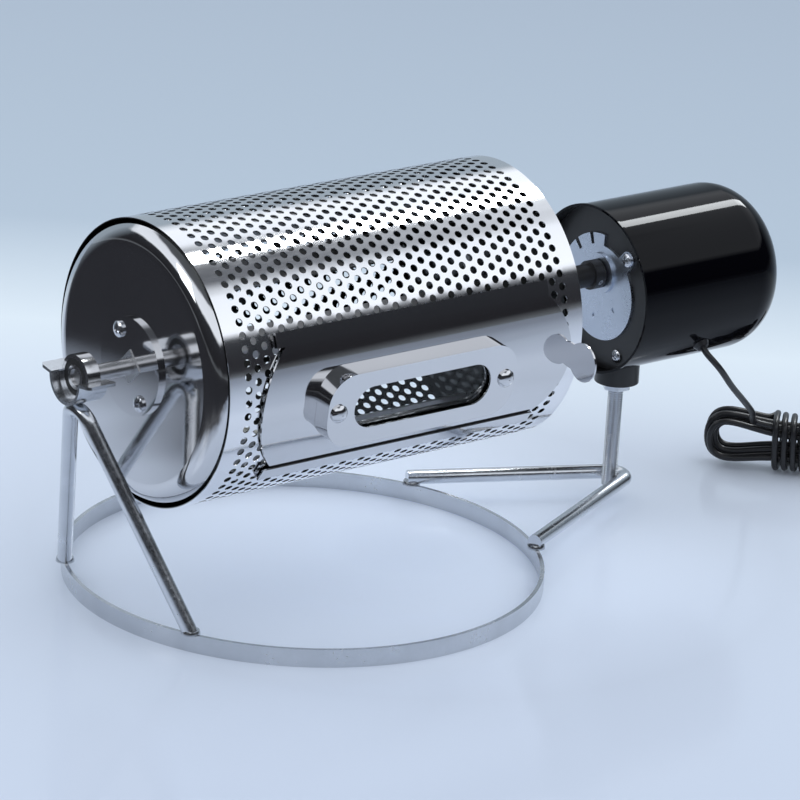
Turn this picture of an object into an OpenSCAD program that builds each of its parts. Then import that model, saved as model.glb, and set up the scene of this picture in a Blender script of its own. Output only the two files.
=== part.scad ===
// Motorised drum roaster for coffee beans. A perforated drum turns on a ball bearing in front
// and on a gear motor behind, over a wire stand with a ring foot. Millimetres, +Z up.
// The drum's axis runs along X, from the bearing to the motor. The origin is on the table,
// under the middle of the whole length.

/* [Drum] */
// Outside diameter of the perforated sheet
drum_d = 140; // [120:1:170]
// Length of the perforated sheet, from rim to rim
drum_len = 212; // [190:1:240]
// Thickness of the perforated sheet
sheet_t = 0.8; // [0.6:0.1:1.2]
// Holes round the drum in one column, each on its own facet of the rolled sheet
holes_round = 68; // [50:1:76]
// Diameter of a hole in the sheet
hole_d = 4; // [2.5:0.1:4.4]
// Plain sheet between a rim and the middle of the nearest column of holes
rim_margin = 8.5; // [8:0.5:14]
// Height of the axis above the table
axis_h = 127; // [115:1:160]

/* [Caps and hubs] */
// Thickness of the pressed end caps
cap_t = 1; // [0.6:0.1:1.6]
// How far the front cap's face stands ahead of the rim
cap_rise = 6; // [4:0.5:8]
// Outside radius of the front cap's shoulder
cap_shoulder = 12; // [9:0.5:16]
// How far the rear cap's face is set in from the rim
cap_inset = 6; // [4:0.5:6.5]
// Corner radius of the rear cap
rear_corner = 4; // [2:0.5:5]
// Diameter of the hub flanges
hub_d = 48; // [44:1:60]
// Thickness of the hub flanges
hub_t = 2; // [1.5:0.5:3]
// Pitch circle of the two hub screws
hub_pcd = 37; // [32:1:38]
// Turn of the hub screws about the axis
hub_turn = 60; // [0:1:90]

/* [Axle and bearing] */
// Side of the square bar through the drum
bar_w = 12; // [10:0.5:14]
// Diameter of the axle's turned ends
journal_d = 8; // [6:0.5:9]
// Side of the square tang that the coupling drives
tang_w = 5.6; // [4:0.1:5.6]
// Free axle between the drum's front rim and the bearing
front_reach = 32; // [26:1:45]
// Free axle between the drum's rear rim and the coupling
rear_reach = 44; // [30:1:60]
// Outside diameter of the ball bearing
bearing_d = 22; // [20:1:26]
// Width of the ball bearing
bearing_w = 7; // [6:0.5:8]
// Number of balls
balls = 7; // [6:1:8]

/* [Door] */
// Door's middle below the horizontal, in degrees
door_tilt = 6.5; // [0:0.5:15]
// Thickness of the door
door_t = 1; // [0.8:0.1:1.4]
// Length of the door, between the tips of its round ends
door_len = 186; // [170:1:190]
// Door's front tip behind the front rim
door_start = 18; // [14:1:22]
// Radius of the door's round ends
door_end_r = 42; // [38:1:60]
// Half angle of the door, seen from the axis
door_half = 30; // [26:0.5:32]
// Half width of the port that the door closes
port_half = 24; // [21:0.5:26]
// Length of the port
port_len = 146; // [130:1:150]
// Diameter of the round pull tab
tab_d = 19.6; // [16:0.2:24]
// Free travel of the door under its rails
slide_clear = 0.25; // [0.2:0.05:0.4]
// Thickness of the folded rails
rail_t = 0.8; // [0.6:0.1:1]
// Width of a rail's lips, in degrees about the axis
rail_lip = 5; // [3:0.5:6]
// Length of the rails
rail_len = 163; // [150:1:170]

/* [Window] */
// Distance of the window's flat face from the axis
window_level = 81.5; // [79:0.5:86]
// Length of the window frame
window_len = 113; // [104:1:120]
// Half width of the window frame
window_half = 18.7; // [17:0.1:21]
// Corner radius of the window frame
window_corner = 15; // [8:0.5:16]
// Wall of the window frame
window_wall = 1; // [0.8:0.1:1.5]
// Length of the slot that shows the glass
slot_len = 82; // [70:1:84]
// Half width of the slot that shows the glass
slot_half = 10.7; // [8:0.1:12]
// Distance between the two dome rivets
rivet_pitch = 100.4; // [97:0.2:102]
// Diameter of a dome rivet's head
rivet_d = 9; // [7:0.5:9.5]
// Thickness of the glass
glass_t = 3; // [2:0.5:4]

/* [Vanes] */
// Height of the vanes that lift the beans
vane_h = 16; // [8:1:24]
// Thickness of the vanes
vane_t = 1; // [0.8:0.1:1.5]
// Width of the vanes' feet
vane_foot = 10; // [6:1:14]

/* [Stand] */
// Outside diameter of the base ring
ring_d = 239; // [215:1:280]
// Height of the base ring's strip
ring_h = 9; // [7:0.5:14]
// Thickness of the base ring's strip
ring_t = 2; // [1.5:0.5:3]
// Diameter of the bent rods
rod_d = 7.5; // [6:0.5:8]
// Half the distance between the front legs' feet
foot_half = 53.2; // [45:0.2:65]
// Half the distance between the rear brace's ends
brace_half = 52; // [45:0.5:62]
// Outside radius of the bend at the top of the front legs
leg_bend = 12.5; // [11:0.5:18]
// Diameter of the rear post
post_d = 8; // [6:0.5:8.5]
// Thickness of the bearing cradle
cradle_t = 1.5; // [1:0.1:2.5]
// Cradle's reach ahead of the bearing
cradle_ahead = 6; // [3:0.5:8]
// Cradle's reach behind the bearing
cradle_behind = 3; // [2:0.5:5]
// Width of the cradle's flared lips
cradle_lip = 8; // [5:0.5:10]

/* [Drive] */
// Diameter of the coupling's barrel
coupling_d = 12; // [11:0.5:14]
// Length of the coupling
coupling_len = 24.5; // [22:0.5:30]
// Diameter of the motor's output shaft
output_d = 7; // [5:0.5:7]
// Diameter of the gear motor
gear_d = 49; // [46:0.5:52]
// Output shaft's height above the gear motor's middle
gear_offset = 10.3; // [8:0.1:11.5]
// Depth of the gear motor behind its face
gear_depth = 40; // [30:1:50]
// Diameter of the motor can
can_d = 86.8; // [84:0.2:96]
// Length of the motor can
can_len = 100.5; // [85:0.5:120]
// Wall of the motor can
can_t = 0.8; // [0.6:0.1:1.5]
// Radius of the motor can's rear corner
can_corner = 22; // [10:1:28]
// Drum axis above the motor can's middle
can_drop = 7.6; // [5:0.1:8]
// Depth of the gear motor's face inside the can's mouth
mouth_depth = 6; // [5:0.5:10]
// Diameter of the socket that holds the post
socket_d = 23; // [18:1:26]
// Length of that socket below the can
socket_drop = 10; // [8:0.5:18]

/* [Cord] */
// Diameter of the cord
cord_d = 3.4; // [3:0.1:3.6]
// Loops in the hank
hank_loops = 6; // [3:3:6]
// Half length of the hank
hank_half = 48; // [44:1:52]
// Turns that bind the hank
bind_turns = 4; // [3:1:4]

/* [Hidden] */
$fn = 96;

// clearances: between pieces that are fixed together, and between those that turn or slide
fit = 0.05;
run = 0.05;
eps = 0.01;

// stations along X, counted from the drum's front rim
bearing_rear_x = -front_reach;
bearing_x = bearing_rear_x - bearing_w;
cradle_x = bearing_x - cradle_ahead;
cradle_len = cradle_ahead + bearing_w + cradle_behind;
cap_face_x = -cap_rise;
rear_face_x = drum_len - cap_inset;
coupling_x = drum_len + rear_reach;
coupling_end_x = coupling_x + coupling_len;
boss_gap = 1;
boss_t = 1.5;
motor_face_x = coupling_end_x + boss_gap + boss_t;
can_x = motor_face_x - mouth_depth;
can_end_x = can_x + can_len;
post_back = 16;
post_x = motor_face_x + post_back;
ring_x = drum_len / 2 - 5;
rim_x = -(cradle_x + can_end_x) / 2;

// drum sheet
facet = 360 / holes_round;
sheet_r = drum_d / 2;
inner_flat_r = (sheet_r - sheet_t) * cos(facet / 2);
hole_pitch = PI * drum_d / holes_round;
column_pitch = hole_pitch * sin(60);
columns = floor((drum_len - 2 * rim_margin) / column_pitch) + 1;
first_column = (drum_len - (columns - 1) * column_pitch) / 2;
cap_r = inner_flat_r - fit;
cap_skirt_end = first_column - hole_d / 2 - 0.2;

// door and rails, as radii from the axis
door_dir = 180 + door_tilt;
rail_base_r = sheet_r + 0.02;
door_in_r = rail_base_r + rail_t + slide_clear;
door_out_r = door_in_r + door_t;
rail_top_r = door_out_r + slide_clear;
rail_web = door_half + 0.8;
rail_start = door_start + (door_len - rail_len) / 2 - 2.5;
door_mid = door_start + door_len / 2;
port_mid = door_mid;
port_corner = 8;
tab_neck = 13;
tab_mid_r = door_out_r + tab_d / 2 + 0.4;
window_mid = door_start + 87.5;
seat_r = door_out_r + fit;
gasket_t = 0.6;
clip_t = 1;
rivet_shank = 4;
glass_top = window_level - window_wall - gasket_t;
clip_top = glass_top - glass_t;
glass_len = rivet_pitch - rivet_shank - 6;
glass_half = slot_half + 3.6;
clip_half = window_half - window_wall - 1;
clip_len = window_len - 2 * window_wall - 2;

// bearing, as radii from the axis
pitch_r = (journal_d + bearing_d) / 4;
ball_d = (bearing_d - journal_d) * 0.2835;
race_gap = (bearing_d - journal_d) * 0.106;
inner_race_r = pitch_r - race_gap;
outer_race_r = pitch_r + race_gap;
seal_t = 0.5;
seal_inset = 0.2;

// stand
axis_z = axis_h;
saddle_r = bearing_d / 2 + fit;
saddle_out_r = saddle_r + cradle_t;
lip_tilt = 8;
rod_r = rod_d / 2;
leg_top = [cradle_x + cradle_len / 2, axis_h - saddle_out_r - rod_r];
leg_foot_x = ring_x - sqrt(pow(ring_d / 2 - ring_t / 2, 2) - pow(foot_half, 2));
brace_end_x = ring_x + sqrt(pow(ring_d / 2 - ring_t - 0.3, 2) - pow(brace_half, 2));
brace_bend = post_d / 2 + fit + rod_r;
weld_r = rod_r + 0.9;
socket_bottom = axis_h - can_drop - can_d / 2 - socket_drop;
post_grip = 14;
nut_t = 4;
nut_w = 13;

// drive
can_z = axis_h - can_drop;
gear_z = axis_h - gear_offset;
can_in_r = can_d / 2 - can_t;
plate_t = 3;
face_t = 1.2;
plate_x = motor_face_x + face_t;
ear_r = 30;
ear_dir = 131;
exit_dir = 219.5;
exit_x = post_x + 26;
grommet_rise = 2.5;

// cord: routes are round numbers from the front rim's plane, the drum's axis line and the table
cord_r = cord_d / 2;
exit_point = [rim_x + exit_x, 0, can_z] +
    (can_d / 2 + grommet_rise) * [0, cos(exit_dir), sin(exit_dir)];
exit_way = [0, cos(exit_dir), sin(exit_dir)];

// ---------- shared shapes ----------

// Local Z becomes the drum's axis, local X and Y become world Y and Z
module on_axis(x = 0) {
    translate([rim_x + x, 0, axis_z]) rotate([90, 0, 90]) children();
}

// Local X points out through the door's middle, local Z along the axis from the rim
module on_door() {
    on_axis() rotate([0, 0, door_dir]) children();
}

// A prism that stands along local X: the outline's X is the station, its Y the width
module outward(r0, r1) {
    translate([r0, 0, 0]) rotate([0, 90, 0]) mirror([1, 0, 0]) linear_extrude(r1 - r0) children();
}

module ring_2d(r_out, r_in) {
    difference() {
        circle(r_out);
        circle(r_in);
    }
}

// Part of a ring between two angles less than 180 degrees apart
module sector_2d(r_in, r_out, a0, a1) {
    far = 3 * r_out;
    mid = (a0 + a1) / 2;
    intersection() {
        ring_2d(r_out, r_in);
        polygon([[0, 0], far * [cos(a0), sin(a0)], far * [cos(mid), sin(mid)], far * [cos(a1), sin(a1)]]);
    }
}

// Rectangle with round corners, from x0 to x1 and half each way in Y
module round_rect(x0, x1, half, r) {
    translate([x0 + r, -half]) square([x1 - x0 - 2 * r, 2 * half]);
    translate([x0, r - half]) square([x1 - x0, 2 * (half - r)]);
    for (x = [x0 + r, x1 - r], y = [r - half, half - r]) translate([x, y]) circle(r, $fn = 64);
}

module polygon_ring(r_out, r_in, n) {
    difference() {
        polygon([for (i = [0:n - 1]) r_out * [cos((i + 0.5) * 360 / n), sin((i + 0.5) * 360 / n)]]);
        polygon([for (i = [0:n - 1]) r_in * [cos((i + 0.5) * 360 / n), sin((i + 0.5) * 360 / n)]]);
    }
}

// A rod bent as a V in the local XY plane. The bend's outermost middle line is at the origin, the
// legs open towards -Y, and end half_span each side at the given depth.
module bent_v(d, bend_r, half_span, depth) {
    reach = sqrt(pow(half_span, 2) + pow(depth - bend_r, 2));
    lean = atan2(half_span, depth - bend_r) - asin(bend_r / reach);
    leg = sqrt(pow(reach, 2) - pow(bend_r, 2));
    translate([0, -bend_r, 0]) {
        rotate([0, 0, lean]) rotate_extrude(angle = 180 - 2 * lean) translate([bend_r, 0]) circle(d / 2, $fn = 48);
        for (side = [0, 1]) mirror([side, 0, 0]) rotate([0, 0, lean])
            translate([bend_r, 0, 0]) rotate([90, 0, 0]) cylinder(d = d, h = leg, $fn = 48);
    }
}

// Pan head screw: its seat at the origin, its head towards +Z, its shank towards -Z
module pan_screw(head_d, head_h, shank_d, shank_len) {
    translate([0, 0, -shank_len]) cylinder(d = shank_d, h = shank_len + eps, $fn = 32);
    rotate_extrude($fn = 48) intersection() {
        translate([0, head_h - head_d * 0.72]) circle(head_d * 0.72, $fn = 64);
        square([head_d / 2, head_h]);
    }
}

// ---------- stand ----------

module base_ring() {
    color("gainsboro") translate([rim_x + ring_x, 0, 0]) linear_extrude(ring_h)
        ring_2d(ring_d / 2, ring_d / 2 - ring_t, $fn = 180);
}

// Beads where a rod's end is welded on the ring's top
module weld_bead(x, y) {
    intersection() {
        translate([rim_x + x, y, ring_h]) sphere(weld_r, $fn = 32);
        translate([rim_x + x - weld_r, y - weld_r, ring_h]) cube([2 * weld_r, 2 * weld_r, 2.2]);
    }
}

module front_legs() {
    drop = leg_top[1] - ring_h;
    run_x = leg_foot_x - leg_top[0];
    lean = atan2(run_x, drop);
    depth = sqrt(pow(run_x, 2) + pow(drop, 2)) + 6;
    half = foot_half * depth / (depth - 6);
    color("silver") {
        intersection() {
            translate([rim_x + leg_top[0], 0, leg_top[1]]) rotate([0, -lean, 0]) rotate([90, 0, 90])
                bent_v(rod_d, leg_bend - rod_r, half, depth);
            translate([rim_x + cradle_x - 60, -ring_d / 2, ring_h]) cube([drum_len, ring_d, axis_h]);
        }
        for (side = [-1, 1]) weld_bead(leg_foot_x, side * foot_half);
    }
}

// Corners of a flared lip, from the saddle's edge outwards
lip_start = [saddle_r + cradle_t * sin(lip_tilt), -cradle_t / 2];
lip_out_way = (cradle_lip + cradle_t) * [cos(lip_tilt), sin(lip_tilt)];
lip_up_way = cradle_t * [-sin(lip_tilt), cos(lip_tilt)];
lip_corners = [lip_start, lip_start + lip_out_way, lip_start + lip_out_way + lip_up_way, lip_start + lip_up_way];

module bearing_cradle() {
    lip_out = saddle_out_r + cradle_lip;
    color("silver") intersection() {
        on_axis(cradle_x) linear_extrude(cradle_len) {
            intersection() {
                ring_2d(saddle_out_r, saddle_r);
                translate([-2 * saddle_out_r, -2 * saddle_out_r]) square([4 * saddle_out_r, 2 * saddle_out_r]);
            }
            for (side = [-1, 1]) polygon([for (p = lip_corners) [side * p[0], p[1]]]);
        }
        // the lips' outer corners are cut round
        translate([rim_x + cradle_x + cradle_len / 2, 0, 0]) scale_plan(cradle_len / 2 + 0.2, lip_out + 1, axis_h + lip_out);
    }
}

// Plan outline with strongly rounded corners for the cradle
module scale_plan(half_x, half_y, h) {
    r = min(half_x, half_y) * 0.55;
    linear_extrude(h) round_rect(-half_x, half_x, half_y, r);
}

module rear_brace() {
    color("silver") {
        translate([rim_x + post_x + brace_bend, 0, ring_h + rod_r + fit]) rotate([0, 0, -90])
            bent_v(rod_d, brace_bend, brace_half, post_x + brace_bend - brace_end_x);
        for (side = [-1, 1]) weld_bead(brace_end_x + 2.2, side * (brace_half - 1.2));
    }
}

module rear_post() {
    color("silver") translate([rim_x + post_x, 0, ring_h])
        cylinder(d = post_d, h = socket_bottom + post_grip - ring_h);
}

module post_nut() {
    color("gainsboro") translate([rim_x + post_x, 0, socket_bottom - nut_t]) difference() {
        intersection() {
            cylinder(d = nut_w / cos(30), h = nut_t, $fn = 6);
            translate([0, 0, -nut_t]) cylinder(d = nut_w * 1.12, h = 3 * nut_t);
        }
        translate([0, 0, -1]) cylinder(d = post_d + 2 * fit, h = nut_t + 2);
    }
}

// ---------- bearing ----------

module race_2d(r_in, r_out) {
    difference() {
        translate([r_in, 0]) square([r_out - r_in, bearing_w]);
        translate([pitch_r, bearing_w / 2]) circle(ball_d / 2 + run, $fn = 64);
    }
}

module bearing_outer_race() {
    color("gainsboro") on_axis(bearing_x) rotate_extrude() race_2d(outer_race_r, bearing_d / 2);
}

module bearing_inner_race() {
    color("silver") on_axis(bearing_x) rotate_extrude() race_2d(journal_d / 2 + fit, inner_race_r);
}

module bearing_seals() {
    color("black") for (x = [seal_inset, bearing_w - seal_inset - seal_t]) on_axis(bearing_x + x)
        linear_extrude(seal_t) ring_2d(outer_race_r - fit, inner_race_r + run);
}

module ball_places() {
    for (i = [0:balls - 1]) on_axis(bearing_x + bearing_w / 2) rotate([0, 0, i * 360 / balls])
        translate([pitch_r, 0, 0]) children();
}

module bearing_balls() {
    color("silver") ball_places() sphere(d = ball_d, $fn = 48);
}

module bearing_cage() {
    cage_w = bearing_w - 2 * (seal_inset + seal_t) - 0.4;
    color("peru") difference() {
        on_axis(bearing_x + (bearing_w - cage_w) / 2) linear_extrude(cage_w)
            ring_2d(pitch_r + race_gap * 0.4, pitch_r - race_gap * 0.4);
        ball_places() rotate([0, 90, 0]) cylinder(d = ball_d + 2 * run, h = ball_d, center = true, $fn = 48);
    }
}

// ---------- drum ----------

module square_hole(x, len) {
    side = bar_w + 2 * fit;
    on_axis(x) rotate([0, 0, 45]) translate([-side / 2, -side / 2, 0]) cube([side, side, len]);
}

module drum_axle() {
    bar_x = cap_face_x - hub_t - 0.5;
    bar_end = rear_face_x + hub_t + 0.5;
    front_x = bearing_x + 1;
    tang_x = coupling_x - 1;
    color("silver") {
        on_axis(front_x) cylinder(d = journal_d, h = bar_x - front_x + eps);
        on_axis(bar_x) rotate([0, 0, 45]) translate([-bar_w / 2, -bar_w / 2, 0]) cube([bar_w, bar_w, bar_end - bar_x]);
        on_axis(bar_end - eps) cylinder(d = journal_d, h = tang_x - bar_end + eps);
        on_axis(tang_x - eps) translate([-tang_w / 2, -tang_w / 2, 0]) cube([tang_w, tang_w, 11]);
    }
}

// Where the hub screws pass, at each end of the drum
module hub_places(x) {
    for (side = [0, 180]) on_axis(x) rotate([0, 0, hub_turn + side]) translate([hub_pcd / 2, 0, 0]) children();
}

// Profile of a cup: radius along X, its floor at the given height, its mouth at zero
module cup_2d(r, corner, height, t) {
    difference() {
        cup_side_2d(r, corner, height);
        translate([0, -t]) cup_side_2d(r - t, corner - t, height);
    }
}

module cup_side_2d(r, corner, height) {
    square([r - corner, height]);
    square([r, height - corner]);
    intersection() {
        translate([r - corner, height - corner]) circle(corner);
        translate([0, height - 2 * corner]) square([r + 1, 2 * corner + 1]);
    }
}

// Cuts for the axle and the hub screws in a cap or flange
module hub_cuts(x, t) {
    square_hole(x - 1, t + 2);
    hub_places(x - 1) cylinder(d = 4 + 2 * fit, h = t + 2, $fn = 32);
}

module front_cap() {
    color("gainsboro") difference() {
        on_axis(cap_skirt_end) mirror([0, 0, 1]) rotate_extrude() intersection() {
            cup_2d(cap_r, cap_shoulder, cap_skirt_end - cap_face_x, cap_t);
            square([cap_r + 1, cap_skirt_end - cap_face_x + 1]);
        }
        hub_cuts(cap_face_x, cap_t);
    }
}

module rear_cap() {
    front_x = rear_face_x - cap_t;
    color("gainsboro") difference() {
        on_axis(drum_len - 0.5) mirror([0, 0, 1]) rotate_extrude() intersection() {
            cup_2d(cap_r, rear_corner, drum_len - 0.5 - front_x, cap_t);
            square([cap_r + 1, drum_len]);
        }
        hub_cuts(front_x, cap_t);
    }
}

module hub_flange(x) {
    difference() {
        on_axis(x) cylinder(d = hub_d, h = hub_t);
        hub_cuts(x, hub_t);
    }
}

module front_hub_flange() { color("silver") hub_flange(cap_face_x - hub_t); }

module rear_hub_flange() { color("silver") hub_flange(rear_face_x); }

hub_screw_len = hub_t + cap_t + 4;

module front_hub_screws() {
    color("silver") hub_places(cap_face_x - hub_t) rotate([180, 0, 0]) pan_screw(8, 2.6, 4, hub_screw_len);
}

module rear_hub_screws() {
    color("silver") hub_places(rear_face_x + hub_t) pan_screw(8, 2.6, 4, hub_screw_len);
}

module hub_nuts() {
    color("gainsboro") {
        for (x = [cap_face_x + cap_t, rear_face_x - cap_t - 3]) hub_places(x) difference() {
            cylinder(d = 8, h = 3, $fn = 6);
            translate([0, 0, -1]) cylinder(d = 4 + 2 * fit, h = 5, $fn = 32);
        }
    }
}

// How far an angle about the axis lies from the door's middle
function from_door(a) = abs((a - door_dir + 900) % 360 - 180);

// Is there room for a hole at this station and angle, beside the port?
function hole_fits(x, a) = abs(x - port_mid) > port_len / 2 + hole_d
    || from_door(a) * PI / 180 * sheet_r > port_half + hole_d;

module port_2d() {
    round_rect(port_mid - port_len / 2, port_mid + port_len / 2, port_half, port_corner);
}

module drum_sheet() {
    color("lightgray") difference() {
        on_axis() linear_extrude(drum_len) polygon_ring(sheet_r, sheet_r - sheet_t, holes_round);
        on_door() outward(sheet_r / 2, sheet_r + 5) port_2d();
        for (c = [0:columns - 1], k = [0:holes_round - 1]) {
            x = first_column + c * column_pitch;
            a = (k + (c % 2) / 2) * facet;
            if (hole_fits(x, a)) on_axis(x) rotate([0, 0, a]) translate([sheet_r - sheet_t - 1, 0, 0])
                rotate([0, 90, 0]) rotate([0, 0, 37]) cylinder(d = hole_d, h = sheet_t + 2, $fn = 24);
        }
    }
}

// One folded rail: a base on the drum, a web, and a lip over the door's edge
module rail() {
    on_door() translate([0, 0, rail_start]) linear_extrude(rail_len) {
        sector_2d(rail_base_r, rail_base_r + rail_t, rail_web - rail_lip, rail_web + 0.7);
        sector_2d(rail_base_r, rail_top_r + rail_t, rail_web, rail_web + 0.7);
        sector_2d(rail_top_r, rail_top_r + rail_t, rail_web - rail_lip, rail_web + 0.7);
    }
}

module upper_rail() {
    color("silver") on_door() mirror([0, 1, 0]) rotate([0, 0, -door_dir]) rotate([-90, -90, 0])
        translate([-rim_x, 0, -axis_z]) rail();
}

module lower_rail() { color("silver") rail(); }

module lifting_vane(turn) {
    out_r = inner_flat_r - fit;
    foot = vane_foot / out_r * 180 / PI;
    start = cap_skirt_end + 1.5;
    color("silver") on_door() rotate([0, 0, turn]) translate([0, 0, start])
        linear_extrude(rear_face_x - cap_t - 1.5 - start) {
            sector_2d(out_r - vane_t, out_r, 0, foot);
            translate([out_r - vane_h, 0]) square([vane_h - vane_t / 2, vane_t]);
        }
}

module lifting_vane_1() { lifting_vane(90); }

module lifting_vane_2() { lifting_vane(180); }

module lifting_vane_3() { lifting_vane(270); }

// ---------- door ----------

// The door's outline laid out flat: straight sides between two round ends
module door_2d() {
    half = door_in_r * sin(door_half);
    inset = door_end_r - sqrt(pow(door_end_r, 2) - pow(half, 2));
    translate([door_start + inset, -half]) square([door_len - 2 * inset, 2 * half]);
    for (x = [door_start + door_end_r, door_start + door_len - door_end_r]) intersection() {
        translate([x, 0]) circle(door_end_r, $fn = 180);
        translate([door_start, -half]) square([door_len, 2 * half]);
    }
}

module door_plate() {
    tab_x = door_start + door_len - door_t;
    color("gainsboro") {
        difference() {
            intersection() {
                on_door() linear_extrude(door_start + door_len + tab_d) ring_2d(door_out_r, door_in_r, $fn = 180);
                on_door() outward(door_in_r / 2, door_out_r + 1) door_2d();
            }
            on_door() outward(door_in_r / 2, door_out_r + 5)
                round_rect(window_mid - glass_len / 2, window_mid + glass_len / 2, slot_half + 2, slot_half);
            rivet_places() translate([0, 0, -window_level]) cylinder(d = rivet_shank + 2 * fit, h = window_level, $fn = 32);
        }
        // pull tab: the plate's tongue turns up into a disc
        on_door() translate([0, 0, tab_x]) linear_extrude(door_t) {
            translate([door_out_r - 0.4, -tab_neck / 2]) square([tab_d / 2, tab_neck]);
            translate([tab_mid_r, 0]) circle(d = tab_d, $fn = 96);
        }
    }
}

module rivet_places() {
    for (side = [-1, 1]) on_door() translate([window_level, 0, window_mid + side * rivet_pitch / 2])
        rotate([0, 90, 0]) children();
}

module window_frame() {
    x0 = window_mid - window_len / 2;
    x1 = window_mid + window_len / 2;
    w = window_wall;
    color("gainsboro") difference() {
        on_door() outward(door_in_r / 2, window_level) round_rect(x0, x1, window_half, window_corner);
        on_door() outward(0, window_level - w) round_rect(x0 + w, x1 - w, window_half - w, window_corner - w);
        on_door() outward(0, window_level + 1)
            round_rect(window_mid - slot_len / 2, window_mid + slot_len / 2, slot_half, slot_half - eps);
        on_door() translate([0, 0, x0 - 5]) cylinder(r = seat_r, h = window_len + 10, $fn = 180);
        rivet_places() translate([0, 0, -w - 1]) cylinder(d = rivet_shank + 2 * fit, h = w + 2, $fn = 32);
    }
}

module glass_plate_2d(grow = 0) {
    round_rect(window_mid - glass_len / 2 - grow, window_mid + glass_len / 2 + grow, glass_half + grow, 4);
}

module window_glass() {
    color([0.75, 0.85, 0.85, 0.4]) on_door() outward(clip_top, glass_top) glass_plate_2d();
}

module window_gasket() {
    color("black") on_door() outward(glass_top, glass_top + gasket_t) difference() {
        glass_plate_2d();
        round_rect(window_mid - slot_len / 2 - 1, window_mid + slot_len / 2 + 1, slot_half + 1, slot_half);
    }
}

module glass_clip() {
    color("silver") difference() {
        on_door() outward(clip_top - clip_t, clip_top) difference() {
            round_rect(window_mid - clip_len / 2, window_mid + clip_len / 2, clip_half, window_corner - window_wall - 1);
            round_rect(window_mid - slot_len / 2, window_mid + slot_len / 2, slot_half, slot_half - eps);
        }
        rivet_places() translate([0, 0, -window_level]) cylinder(d = rivet_shank + 2 * fit, h = window_level, $fn = 32);
    }
}

// Dome head on the frame, a shank, and a collar that presses the clip against the glass
module window_rivets() {
    color("gainsboro") rivet_places() {
        rotate_extrude($fn = 64) intersection() {
            translate([0, 3.2 - rivet_d * 0.62]) circle(rivet_d * 0.62, $fn = 96);
            square([rivet_d / 2, 4]);
        }
        translate([0, 0, door_in_r - window_level]) cylinder(d = rivet_shank, h = window_level - door_in_r + eps, $fn = 32);
        translate([0, 0, door_out_r + 0.2 - window_level])
            cylinder(d = rivet_shank + 3, h = clip_top - clip_t - door_out_r - 0.2, $fn = 32);
    }
}

// ---------- drive ----------

output_len = 13;
output_x = motor_face_x - output_len;

module shaft_coupling() {
    socket = tang_w + 2 * run;
    bore_x = output_x - 0.3;
    color("dimgray") difference() {
        union() {
            on_axis(coupling_x) cylinder(d = coupling_d, h = coupling_len);
            on_axis(coupling_end_x - 6) cylinder(d = coupling_d + 3, h = 6);
        }
        on_axis(coupling_x - 1) translate([-socket / 2, -socket / 2, 0]) cube([socket, socket, 12]);
        on_axis(bore_x) cylinder(d = output_d + 2 * fit, h = coupling_len);
        grub_place() cylinder(d = 3 + 2 * fit, h = coupling_d, $fn = 32);
    }
}

module grub_place() {
    on_axis(coupling_end_x - 3) rotate([0, 0, 200]) rotate([0, 90, 0]) children();
}

module grub_screw() {
    top = (coupling_d + 3) / 2 - 0.4;
    color("silver") grub_place() translate([0, 0, output_d / 2 + fit]) difference() {
        cylinder(d = 3, h = top - output_d / 2 - fit, $fn = 32);
        translate([0, 0, 1.6]) cylinder(d = 1.5, h = 4, $fn = 6);
    }
}

module output_shaft() {
    color("silver") on_axis(output_x) cylinder(d = output_d, h = output_len + 8);
}

// Local XY is the gear motor's face, centred on its body, and local Z runs backwards
module on_motor(x) {
    translate([rim_x + x, 0, gear_z]) rotate([90, 0, 90]) children();
}

module ear_places(x) {
    for (side = [0, 180]) on_motor(x) rotate([0, 0, ear_dir + side]) translate([ear_r, 0, 0]) children();
}

module gear_motor() {
    // face plate: a disc, two ears, and a lip of lobes above
    color("lightsteelblue") difference() {
        union() {
            on_motor(motor_face_x) linear_extrude(face_t) {
                circle(gear_d / 2 + 0.5);
                for (side = [0, 180]) rotate([0, 0, ear_dir + side]) {
                    translate([0, -4.5]) square([ear_r, 9]);
                    translate([ear_r, 0]) circle(4.5, $fn = 48);
                }
                for (a = [[28, 46], [51, 70], [75, 92]]) sector_2d(gear_d / 2 - 2, ear_r + 0.8, a[0], a[1]);
            }
            on_motor(motor_face_x + face_t - eps) cylinder(d = gear_d, h = gear_depth - face_t);
            on_axis(motor_face_x - boss_t) cylinder(d = 21, h = boss_t + eps);
        }
        on_axis(motor_face_x - boss_t - 1) cylinder(d = output_d + 2 * run, h = boss_t + 9.5);
        ear_places(motor_face_x - 1) cylinder(d = 4 + 2 * fit, h = face_t + 2, $fn = 32);
        // rivet dimples of the gear train's pins
        for (p = [[3.1, -13.3], [-11.5, -6.5], [14, 2]]) on_motor(motor_face_x - 0.1) translate([p[0], p[1], 0])
            cylinder(d = 2.6, h = 0.7, $fn = 32);
    }
}

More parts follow.
